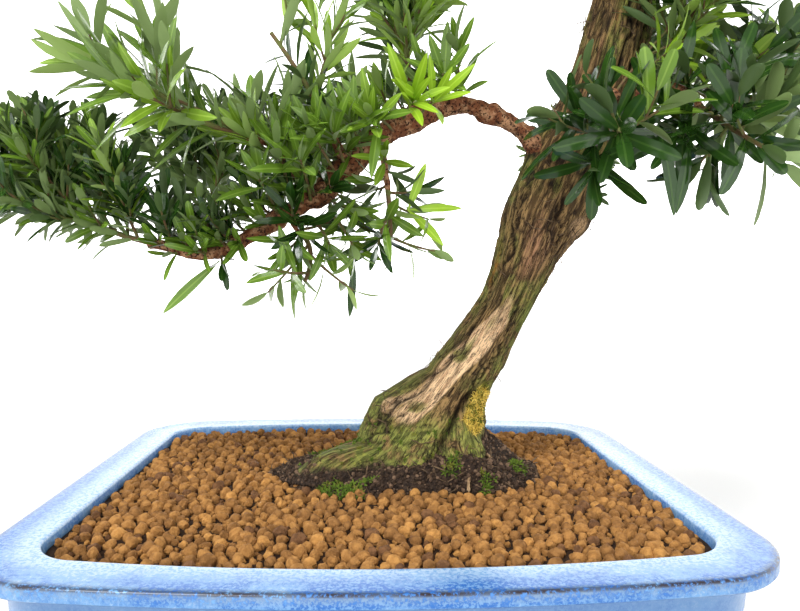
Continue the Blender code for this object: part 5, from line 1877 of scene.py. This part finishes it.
        for shoot in self.shoots(mass, coarse, rng):
            if self.in_open_sky(shoot[-1]):
                continue
            grown = self.spray(kind, tones, shoot, rng, in_space)
            if grown:
                twigs.append(Twig(shoot, self.shoot_radius, self.tip_radius))
            leaves += grown
            for path in self.side_twigs(mass, shoot, rng):
                grown = self.spray(kind, tones, path, rng, in_space)
                if grown:
                    twigs.append(Twig(path, self.twig_radius, self.tip_radius))
                leaves += grown
        leaves += self.spray(kind, tones, stem, rng, in_space)
        for tufts in TUFTS:
            if tufts.mass == mass.name:
                for path in self.tuft_shoots(tufts, rng):
                    twigs.append(Twig(path, self.shoot_radius, self.tip_radius))
                    leaves += self.spray(tufts.kind, tufts.tones, path, rng, in_view)
        for rosette in ROSETTES:
            if rosette.mass == mass.name:
                path, found = self.rosette(rosette, rng)
                twigs.append(Twig(path, self.shoot_radius, self.twig_radius))
                leaves += found
        leaves += [self.lone_leaf(lone) for lone in LONE_LEAVES if lone.mass == mass.name]
        leaves = [leaf for leaf in leaves if self.in_box(leaf.root + leaf.along * leaf.length)]
        name = mass.name.replace("_foliage", "")
        dress(link_mesh(name + "_leaves", self.leaf_mesh(name + "_leaves", leaves)), "leaf", mass.name)
        dress(link_mesh(name + "_twigs", self.twig_mesh(name + "_twigs", twigs)), "leaf", mass.name)

    def build(self, frame: dict[str, Any]) -> None:
        """Grows every mass, clear of the trunk and the limbs."""
        self.blades = {shape: shape.blade() for shape in LeafShape}
        self.leaf_growth = leaf_tree(self.blades)
        self.twig_growth = twig_tree()
        self.twig_finish = TwigFinish().material()
        points: list[Vector] = []
        faces: list[tuple[int, ...]] = []
        for name in ("trunk", *(limb.name for limb in LIMBS)):
            mesh = frame["nodes"][name].data
            first = len(points)
            points += [vert.co.copy() for vert in mesh.vertices]
            faces += [tuple(index + first for index in face.vertices) for face in mesh.polygons]
        self.blocked = BVHTree.FromPolygons(points, faces)
        for mass in MASSES:
            self.build_mass(mass)
        for blade in self.blades.values():
            bpy.data.objects.remove(blade)
        LOG.info("leaves in all: %d", self.leaf_count)


def scatter_tree() -> GrowthTree:
    """The tree that scatters an item over a surface, as dense as one of its attributes allows."""
    tree = GrowthTree("scattered_items")
    item = tree.size("Item", "NodeSocketObject")
    name = tree.size("Share name", "NodeSocketString")
    spacing, smallest, largest, lift, lean, lumps, low, high = (tree.size(size) for size in (
        "Spacing", "Smallest", "Largest", "Lift", "Lean", "Lumps", "From share", "To share"))
    seed = tree.size("Seed", "NodeSocketInt")
    finish = tree.size("Finish", "NodeSocketMaterial")
    density = tree.math("DIVIDE", 3.5, tree.math("MULTIPLY", spacing, spacing))
    spread = tree.node("GeometryNodeDistributePointsOnFaces", {
        "Mesh": tree.source.outputs["Geometry"], "Distance Min": spacing, "Density Max": density,
        "Density Factor": tree.attribute(name), "Seed": seed}, distribute_method="POISSON")
    raised = tree.node("GeometryNodeSetPosition", {
        "Geometry": spread.outputs["Points"], "Offset": tree.scaled(spread.outputs["Normal"], lift)})
    draw = tree.node("FunctionNodeRandomValue", {"Seed": 5}, data_type="FLOAT").outputs[1]
    above = tree.node("FunctionNodeCompare", {0: draw, 1: low}, operation="GREATER_EQUAL").outputs[0]
    below = tree.node("FunctionNodeCompare", {0: draw, 1: high}, operation="LESS_THAN").outputs[0]
    chosen = tree.node("FunctionNodeBooleanMath", {0: above, 1: below}, operation="AND").outputs[0]
    size = tree.node("FunctionNodeRandomValue", {2: smallest, 3: largest, "Seed": 11}, data_type="FLOAT")
    squash = tree.node("FunctionNodeRandomValue", {0: (0.82, 0.82, 0.76), 1: (1.14, 1.08, 1.0), "Seed": 12},
                       data_type="FLOAT_VECTOR").outputs[0]
    least = tree.math("MULTIPLY", lean, -1.0)
    turns = [tree.node("ShaderNodeCombineXYZ", {0: edge, 1: edge, 2: half}).outputs[0]
             for edge, half in ((least, -math.pi), (lean, math.pi))]
    turn = tree.node("FunctionNodeRandomValue", {0: turns[0], 1: turns[1], "Seed": 13}, data_type="FLOAT_VECTOR")
    stand = tree.node("FunctionNodeRotateRotation", {0: spread.outputs["Rotation"], 1: turn.outputs[0]},
                      rotation_space="LOCAL").outputs[0]
    shape = tree.node("GeometryNodeObjectInfo", {"Object": item}).outputs["Geometry"]
    placed = tree.node("GeometryNodeInstanceOnPoints", {
        "Points": raised.outputs[0], "Selection": chosen, "Instance": shape, "Rotation": stand,
        "Scale": tree.scaled(squash, size.outputs[1])}).outputs[0]
    items = tree.node("GeometryNodeRealizeInstances", {0: placed}).outputs[0]
    where = tree.node("GeometryNodeInputPosition").outputs[0]
    noise = tree.node("ShaderNodeTexNoise", {"Vector": where, "Scale": 330.0, "Detail": 1.0}).outputs["Color"]
    centred = tree.node("ShaderNodeVectorMath", {0: noise, 1: (0.5, 0.5, 0.5)}, operation="SUBTRACT").outputs[0]
    shaped = tree.node("GeometryNodeSetPosition", {"Geometry": items, "Offset": tree.scaled(centred, lumps)})
    tree.finish(shaped.outputs[0], [(None, finish)])
    return tree


def crumb(name: str, steps: int) -> Any:
    """A round crumb one unit wide."""
    shape = bmesh.new()
    bmesh.ops.create_icosphere(shape, subdivisions=steps, radius=0.5)
    mesh = bpy.data.meshes.new(name)
    shape.to_mesh(mesh)
    shape.free()
    return link_mesh(name, mesh)


def tuft(name: str, blades: int, width: float, leans: tuple[float, float], sag: float) -> Any:
    """A tuft of pointed three-sided blades that spread from one root.

    Args:
        name: Name of the tuft.
        blades: How many blades it has.
        width: Width of a blade, where its length is 1.
        leans: Least and greatest lean of a blade, in radians.
        sag: How far a blade's tip sinks.

    Returns:
        The tuft's object.
    """
    points, faces = [], []
    for blade in range(blades):
        lean = leans[0] + (leans[1] - leans[0]) * math.sqrt((blade + 0.5) / blades)
        bearing = blade * GOLDEN_ANGLE
        out = Vector((math.cos(bearing) * math.sin(lean), math.sin(bearing) * math.sin(lean), math.cos(lean)))
        side = perpendicular(out)
        other = out.cross(side)
        first = len(points)
        for share, wide in ((0.0, 0.6), (0.5, 1.0)):
            for corner in range(3):
                angle = corner * math.tau / 3
                ring = (side * math.cos(angle) + other * math.sin(angle)) * width * wide / 2
                points.append(out * share + ring - Vector((0, 0, sag * share ** 2)))
        points.append(out - Vector((0, 0, sag)))
        faces.append((first + 2, first + 1, first))
        for corner in range(3):
            after = (corner + 1) % 3
            faces.append((first + corner, first + after, first + 3 + after, first + 3 + corner))
            faces.append((first + 3 + corner, first + 3 + after, first + 6))
    mesh = bpy.data.meshes.new(name)
    mesh.from_pydata([tuple(point) for point in points], [], faces)
    return link_mesh(name, mesh)


class CoverTint(Enum):
    """The tints of what lies on the soil and the trunk's foot, each with its light and dark colour."""

    CLAY_OCHRE = ((0.450, 0.222, 0.066), (0.290, 0.135, 0.038))
    CLAY_BROWN = ((0.330, 0.160, 0.050), (0.200, 0.092, 0.028))
    CLAY_ORANGE = ((0.560, 0.280, 0.080), (0.400, 0.190, 0.052))
    CLAY_DARK = ((0.210, 0.100, 0.042), (0.120, 0.056, 0.024))
    MUCK = ((0.070, 0.043, 0.028), (0.026, 0.016, 0.010))
    MUCK_PALE = ((0.200, 0.125, 0.078), (0.100, 0.062, 0.040))
    MOSS = ((0.130, 0.200, 0.022), (0.060, 0.100, 0.012))
    GOLDEN_MOSS = ((0.950, 0.720, 0.160), (0.560, 0.390, 0.055))
    OLIVE_MOSS = ((0.210, 0.220, 0.035), (0.120, 0.130, 0.020))
    SHRED = ((0.170, 0.110, 0.062), (0.060, 0.040, 0.024))

    def material(self) -> Any:
        """The tint's matt material, made once."""
        name = f"cover_{self.name.lower()}"
        return bpy.data.materials.get(name) or GrainFinish(name, *self.value).material()


@dataclass
class Cover:
    """Small items scattered over a surface: their sizes, how they stand, and their tints with shares."""

    name: str
    item: Any
    share_name: str
    spacing: float
    sizes: tuple[float, float]
    tints: tuple[tuple[CoverTint, float], ...]
    lift: float = 0.0
    lean: float = 0.4
    lumps: float = 0.0
    slot: str = "grit"
    seed: int = 3

    def over(self, tree: GrowthTree, surface: Any) -> None:
        """Scatters the items over a surface, each tint as its own piece."""
        low = 0.0
        for tint, share in self.tints:
            name = f"{self.name}_{tint.name.lower()}"
            mesh = tree.grow(surface, name, {
                "Item": self.item, "Share name": self.share_name, "Spacing": self.spacing,
                "Smallest": self.sizes[0], "Largest": self.sizes[1], "Lift": self.lift, "Lean": self.lean,
                "Lumps": self.lumps, "From share": low, "To share": low + share, "Seed": self.seed,
                "Finish": tint.material()})
            dress(link_mesh(name, mesh), self.slot)
            low += share


@dataclass(frozen=True)
class BareRoot:
    """A thin bare root over the muck: its bearings, reaches from the trunk's middle, heights and girth."""

    bearings: tuple[float, ...]
    reaches: tuple[float, ...]
    heights: tuple[float, ...]
    radius: float
    rings: int = 60

    def build(self, name: str, centre: tuple[float, float], finish: Any) -> None:
        """Builds the root round the trunk's middle, thinner towards its end."""
        route = []
        for bearing, reach, height in zip(self.bearings, self.reaches, self.heights):
            angle = math.radians(bearing)
            route.append(Vector((centre[0] + reach * math.cos(angle), centre[1] + reach * math.sin(angle),
                                 RIM + height)))
        points = spline(route, self.rings)
        radii = [self.radius * (1 - 0.6 * index / self.rings) for index in range(len(points))]
        line = Tube(points, directions_along(points), radii)
        dress(link_mesh(name, Boughs().bark_tube(name, line, 310, flared=False), [finish]), "bark")


@dataclass(frozen=True)
class Heap:
    """The dark heap of muck round the roots: its outline and top, by bearing round the trunk's foot."""

    centre: tuple[float, float] = (0.034, 0.012)
    bearings: tuple[float, ...] = (0, 40, 90, 135, 163, 182, 205, 222, 240, 262, 290, 306, 338, 360)
    reaches: tuple[float, ...] = (0.065, 0.060, 0.055, 0.080, 0.103, 0.104, 0.090, 0.075, 0.054, 0.045, 0.048,
                                  0.056, 0.067, 0.065)
    tops: tuple[float, ...] = (0.004, 0.004, 0.004, 0.005, 0.004, 0.002, 0.003, 0.007, 0.010, 0.012, 0.017,
                               0.015, 0.007, 0.004)
    moss: tuple[tuple[float, float, float], ...] = (
        (-0.032, 0.046, 0.017), (-0.022, -0.030, 0.019), (0.042, -0.026, 0.007), (0.082, -0.006, 0.010),
        (0.060, -0.036, 0.006), (0.010, 0.060, 0.016), (0.074, 0.052, 0.014))
    rows: int = 30
    sides: int = 170
    innermost: float = 0.30
    lump: float = 0.0014
    sunk: float = 0.0035
    bare_roots: tuple[BareRoot, ...] = (
        BareRoot((300, 308, 316, 319, 320), (0.029, 0.033, 0.037, 0.041, 0.047),
                 (0.029, 0.022, 0.017, 0.013, 0.006), 0.0019),
        BareRoot((314, 306, 296, 289, 286), (0.036, 0.038, 0.042, 0.048, 0.054),
                 (0.017, 0.014, 0.010, 0.005, 0.000), 0.0013))

    def edge(self, bearing: np.ndarray) -> np.ndarray:
        """How far the heap reaches from the trunk's middle at bearings in degrees."""
        return np.interp(bearing % 360, self.bearings, self.reaches)

    def covers(self, x: float, y: float) -> bool:
        """Whether the heap lies over a place on the soil."""
        away = math.hypot(x - self.centre[0], y - self.centre[1])
        bearing = math.degrees(math.atan2(y - self.centre[1], x - self.centre[0]))
        return away < float(self.edge(np.array(bearing))) - 0.002

    def build(self) -> Any:
        """Builds the heap as a closed mound, with the shares of its muck and moss."""
        bearing = np.linspace(0, 360, self.sides, endpoint=False)[None, :] + np.zeros((self.rows, 1))
        share = np.linspace(1, self.innermost, self.rows)[:, None] + bearing * 0
        around = bearing / 360
        edge = self.edge(bearing) * (1 + 0.04 * wave_field(around, share, (26, 3), 61))
        foot = Trunk.radius(TRUNK_STATIONS[0][2] + bearing * 0, bearing * 0, bearing)
        away = edge * share
        fall = np.clip((away - foot) / np.maximum(edge - foot, 0.006), 0, 1) ** 1.5
        fall = np.maximum(fall, smooth_step(share, 0.93, 1.0))
        top = np.interp(bearing, self.bearings, self.tops) + self.lump * wave_field(around, share, (60, 16), 62)
        level = RIM - SOIL_DEPTH_AT_TRUNK - self.sunk
        angle = np.radians(bearing)
        x = self.centre[0] + away * np.cos(angle)
        y = self.centre[1] + away * np.sin(angle)
        points = np.stack([x, y, level + (top + self.sunk) * (1 - fall)], axis=-1)
        mesh = mesh_of_quads("muck_heap", points.reshape(-1, 3), ring_faces(self.rows, self.sides))
        cap_rings(mesh, self.sides)
        moss = share * 0
        for moss_x, moss_y, radius in self.moss:
            moss = np.maximum(moss, smooth_step(np.hypot(x - moss_x, y - moss_y) / radius, 1.0, 0.5))
        set_attribute(mesh, "moss", moss * smooth_step(wave_field(around, share, (40, 12), 63), -0.5, 0.2))
        set_attribute(mesh, "muck", 1 - 0.5 * moss)
        finish = GrainFinish("muck", (0.050, 0.032, 0.022), (0.020, 0.013, 0.010))
        heap = link_mesh("muck_heap", mesh, [finish.material()])
        dress(heap, "grit")
        pale = GrainFinish("bare_root", (0.420, 0.280, 0.150), (0.180, 0.110, 0.060)).material()
        for number, root in enumerate(self.bare_roots):
            root.build(f"bare_root_{number}", self.centre, pale)
        return heap


@dataclass
class Soil:
    """The soil: a dark bed, painted shade between the grains, covered with loose baked clay grains, and the muck round
    the roots.
    """

    heap: Heap = Heap()
    bed_depth: float = 0.0032
    wall_room: float = 0.0032
    cuts: int = 22
    shares: tuple[float, float, float, float] = (0.46, 0.36, 0.08, 0.10)

    def surface(self, soil: Any) -> Any:
        """A fine copy of the soil's upper faces, drawn in from the pot's wall, bare under the heap."""
        shape = bmesh.new()
        shape.from_mesh(soil.data)
        bmesh.ops.remove_doubles(shape, verts=shape.verts, dist=1e-5)
        below = [face for face in shape.faces if face.normal.z < 0.7]
        bmesh.ops.delete(shape, geom=below, context="FACES")
        edge = {vert for rim_edge in shape.edges if rim_edge.is_boundary for vert in rim_edge.verts}
        for vert in edge:
            vert.co -= Vector((vert.co.x, vert.co.y, 0)).normalized() * self.wall_room
        bmesh.ops.subdivide_edges(shape, edges=shape.edges[:], cuts=self.cuts, use_grid_fill=True)
        mesh = bpy.data.meshes.new("soil_surface")
        shape.to_mesh(mesh)
        shape.free()
        bare = [self.heap.covers(vert.co.x, vert.co.y) for vert in mesh.vertices]
        set_attribute(mesh, "share", 1.0 - np.array(bare, dtype=float))
        return link_mesh("soil_surface", mesh)

    def bed(self, soil: Any) -> None:
        """Puts a dark bed, painted shade between the grains, a little lower than them, in place of the plain soil."""
        mesh = soil.data.copy()
        mesh.name = "soil_bed"
        mesh.materials.clear()
        top = max(vert.co.z for vert in mesh.vertices)
        for vert in mesh.vertices:
            if vert.co.z > top / 2:
                vert.co.z -= self.bed_depth
        # The bed's dark colour is painted shade between the grains.
        gap_shade = GrainFinish("soil_earth", (0.045, 0.022, 0.011), (0.020, 0.010, 0.005))
        dress(link_mesh("soil_bed", mesh, [gap_shade.material()]), "grit", "soil")

    def build(self, soil: Any, trunk: Any) -> None:
        """Lays the bed, the grains, the muck, its crumbs, the moss and the shreds of bark.

        Args:
            soil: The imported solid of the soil.
            trunk: The trunk's bark, which has the shares of its moss, muck and shreds.
        """
        self.bed(soil)
        tree = scatter_tree()
        surface = self.surface(soil)
        grain, speck = crumb("grain_shape", 2), crumb("crumb_shape", 1)
        clay = tuple(zip((tint for tint in CoverTint if tint.name.startswith("CLAY")), self.shares))
        muck = ((CoverTint.MUCK, 0.72), (CoverTint.MUCK_PALE, 0.28))
        green = ((CoverTint.MOSS, 0.75), (CoverTint.OLIVE_MOSS, 0.25))
        golden = ((CoverTint.GOLDEN_MOSS, 0.70), (CoverTint.OLIVE_MOSS, 0.30))
        leafy = tuft("leafy_tuft", 8, 0.30, (0.1, 1.4), 0.12)
        hairy = tuft("hairy_tuft", 9, 0.13, (0.1, 1.5), 0.18)
        shred = tuft("bark_shred", 2, 0.10, (0.9, 1.3), 0.05)
        small = dict(lean=math.pi, lumps=0.0016)
        large = dict(lean=math.pi, lumps=0.0026)
        Cover("grain_small", grain, "share", 0.0042, (0.0028, 0.0044), clay, -0.0028, **large).over(tree, surface)
        Cover("grain", grain, "share", 0.0058, (0.0046, 0.0080), clay, -0.0018, seed=8, **large).over(tree, surface)
        heap = self.heap.build()
        Cover("heap_crumbs", speck, "muck", 0.0016, (0.0008, 0.0034), muck, 0.0004, **small).over(tree, heap)
        Cover("heap_moss", leafy, "moss", 0.0024, (0.0030, 0.0055), green).over(tree, heap)
        Cover("heap_fibres", shred, "muck", 0.0068, (0.0050, 0.0110), ((CoverTint.SHRED, 1.0),), 0.0005, 0.9
              ).over(tree, heap)
        Cover("foot_crumbs", speck, "muck", 0.0018, (0.0010, 0.0030), muck, **small).over(tree, trunk)
        Cover("foot_moss", leafy, "green", 0.0026, (0.0014, 0.0028), green, slot="bark").over(tree, trunk)
        Cover("golden_moss", hairy, "moss", 0.0017, (0.0022, 0.0050), golden, slot="bark").over(tree, trunk)
        Cover("bark_shreds", shred, "shred", 0.0038, (0.0040, 0.0100), ((CoverTint.SHRED, 1.0),), 0.0002, 0.7,
              slot="bark").over(tree, trunk)
        for scrap in (surface, grain, speck, leafy, hairy, shred):
            bpy.data.objects.remove(scrap)


@dataclass(frozen=True)
class PhotoCamera:
    """The photograph's camera: its place, aim and focal length in pixels."""

    place: tuple[float, float, float] = (-0.0100, -0.4286, 0.2197)
    yaw: float = 0.0480
    pitch: float = 0.0421
    roll: float = 0.0108
    focal_pixels: float = 700.1
    image_width: float = 800.0
    sensor: float = 36.0

    def build(self) -> None:
        """Makes the camera and gives it to the scene."""
        data = bpy.data.cameras.new("photo_camera")
        data.sensor_width = self.sensor
        data.lens = self.focal_pixels / self.image_width * self.sensor
        data.clip_start = 0.01
        camera = bpy.data.objects.new("photo_camera", data)
        ahead = Vector((math.sin(self.yaw) * math.cos(self.pitch), math.cos(self.yaw) * math.cos(self.pitch),
                        -math.sin(self.pitch)))
        right = Vector((math.cos(self.yaw), -math.sin(self.yaw), 0.0))
        up = right.cross(ahead)
        side = right * math.cos(self.roll) + up * math.sin(self.roll)
        top = up * math.cos(self.roll) - right * math.sin(self.roll)
        turn = Matrix((side, top, -ahead)).transposed()
        camera.matrix_world = Matrix.Translation(self.place) @ turn.to_4x4()
        bpy.context.scene.collection.objects.link(camera)
        bpy.context.scene.camera = camera


@dataclass(frozen=True)
class Studio:
    """A plain pale floor inside a white screen, under a soft overcast room and one broad lamp."""

    radius: float = 7.0
    screen_height: float = 4.2
    screen_glow: float = 1.02
    room_strength: float = 0.56
    lamp_strength: float = 2.6
    lamp_width: float = 22.0
    lamp_from: tuple[float, float, float] = (-0.45, -0.62, 0.80)
    sides: int = 48

    def circle(self, height: float) -> np.ndarray:
        """Points round the room at a height."""
        angle = np.linspace(0, 2 * math.pi, self.sides, endpoint=False)
        level = np.full(self.sides, height)
        return np.stack([np.cos(angle) * self.radius, np.sin(angle) * self.radius, level], axis=-1)

    def floor(self) -> None:
        """Makes the floor, a flat disc."""
        mesh = bpy.data.meshes.new("studio_floor")
        mesh.from_pydata(self.circle(0.0).tolist(), [], [tuple(range(self.sides))])
        link_mesh("studio_floor", mesh, [plain_material("pale_floor", (0.88, 0.88, 0.87), 0.9)])

    def screen(self) -> None:
        """Makes the white screen round the floor, which faces inwards."""
        rings = np.concatenate([self.circle(self.screen_height), self.circle(-0.02)])
        mesh = mesh_of_quads("white_screen", rings, ring_faces(2, self.sides), smooth=False)
        glow = plain_material("screen_white", (0.9, 0.9, 0.9), 0.9)
        shader = glow.node_tree.nodes["Principled BSDF"]
        shader.inputs["Emission Color"].default_value = (1.0, 1.0, 1.0, 1.0)
        shader.inputs["Emission Strength"].default_value = self.screen_glow
        link_mesh("white_screen", mesh, [glow])

    def build(self) -> None:
        """Makes the floor, the screen, the room's light and the lamp."""
        self.floor()
        self.screen()
        world = bpy.data.worlds.new("pale_room")
        world.use_nodes = True
        background = world.node_tree.nodes["Background"]
        background.inputs["Color"].default_value = (1.0, 1.0, 1.0, 1.0)
        background.inputs["Strength"].default_value = self.room_strength
        bpy.context.scene.world = world
        bpy.context.scene.view_settings.view_transform = "Standard"
        data = bpy.data.lights.new("broad_lamp", "SUN")
        data.energy = self.lamp_strength
        data.angle = math.radians(self.lamp_width)
        lamp = bpy.data.objects.new("broad_lamp", data)
        aim = -Vector(self.lamp_from)
        lamp.matrix_world = aim.to_track_quat("-Z", "Y").to_matrix().to_4x4()
        bpy.context.scene.collection.objects.link(lamp)


def main() -> None:
    """Builds the stage, the pot, the soil and the tree."""
    logging.basicConfig(level=logging.INFO, format="%(message)s")
    PhotoCamera().build()
    Studio().build()
    Pot().build()
    trunk = Trunk()
    boughs = Boughs()
    boughs.build(trunk.build())
    Soil().build(frame["nodes"]["soil"], trunk.skin)
    low, high = (Vector(corner) for corner in SOLID_BOX)
    Foliage(boughs.lines, low, high).build(frame)


if __name__ == "__main__":
    main()
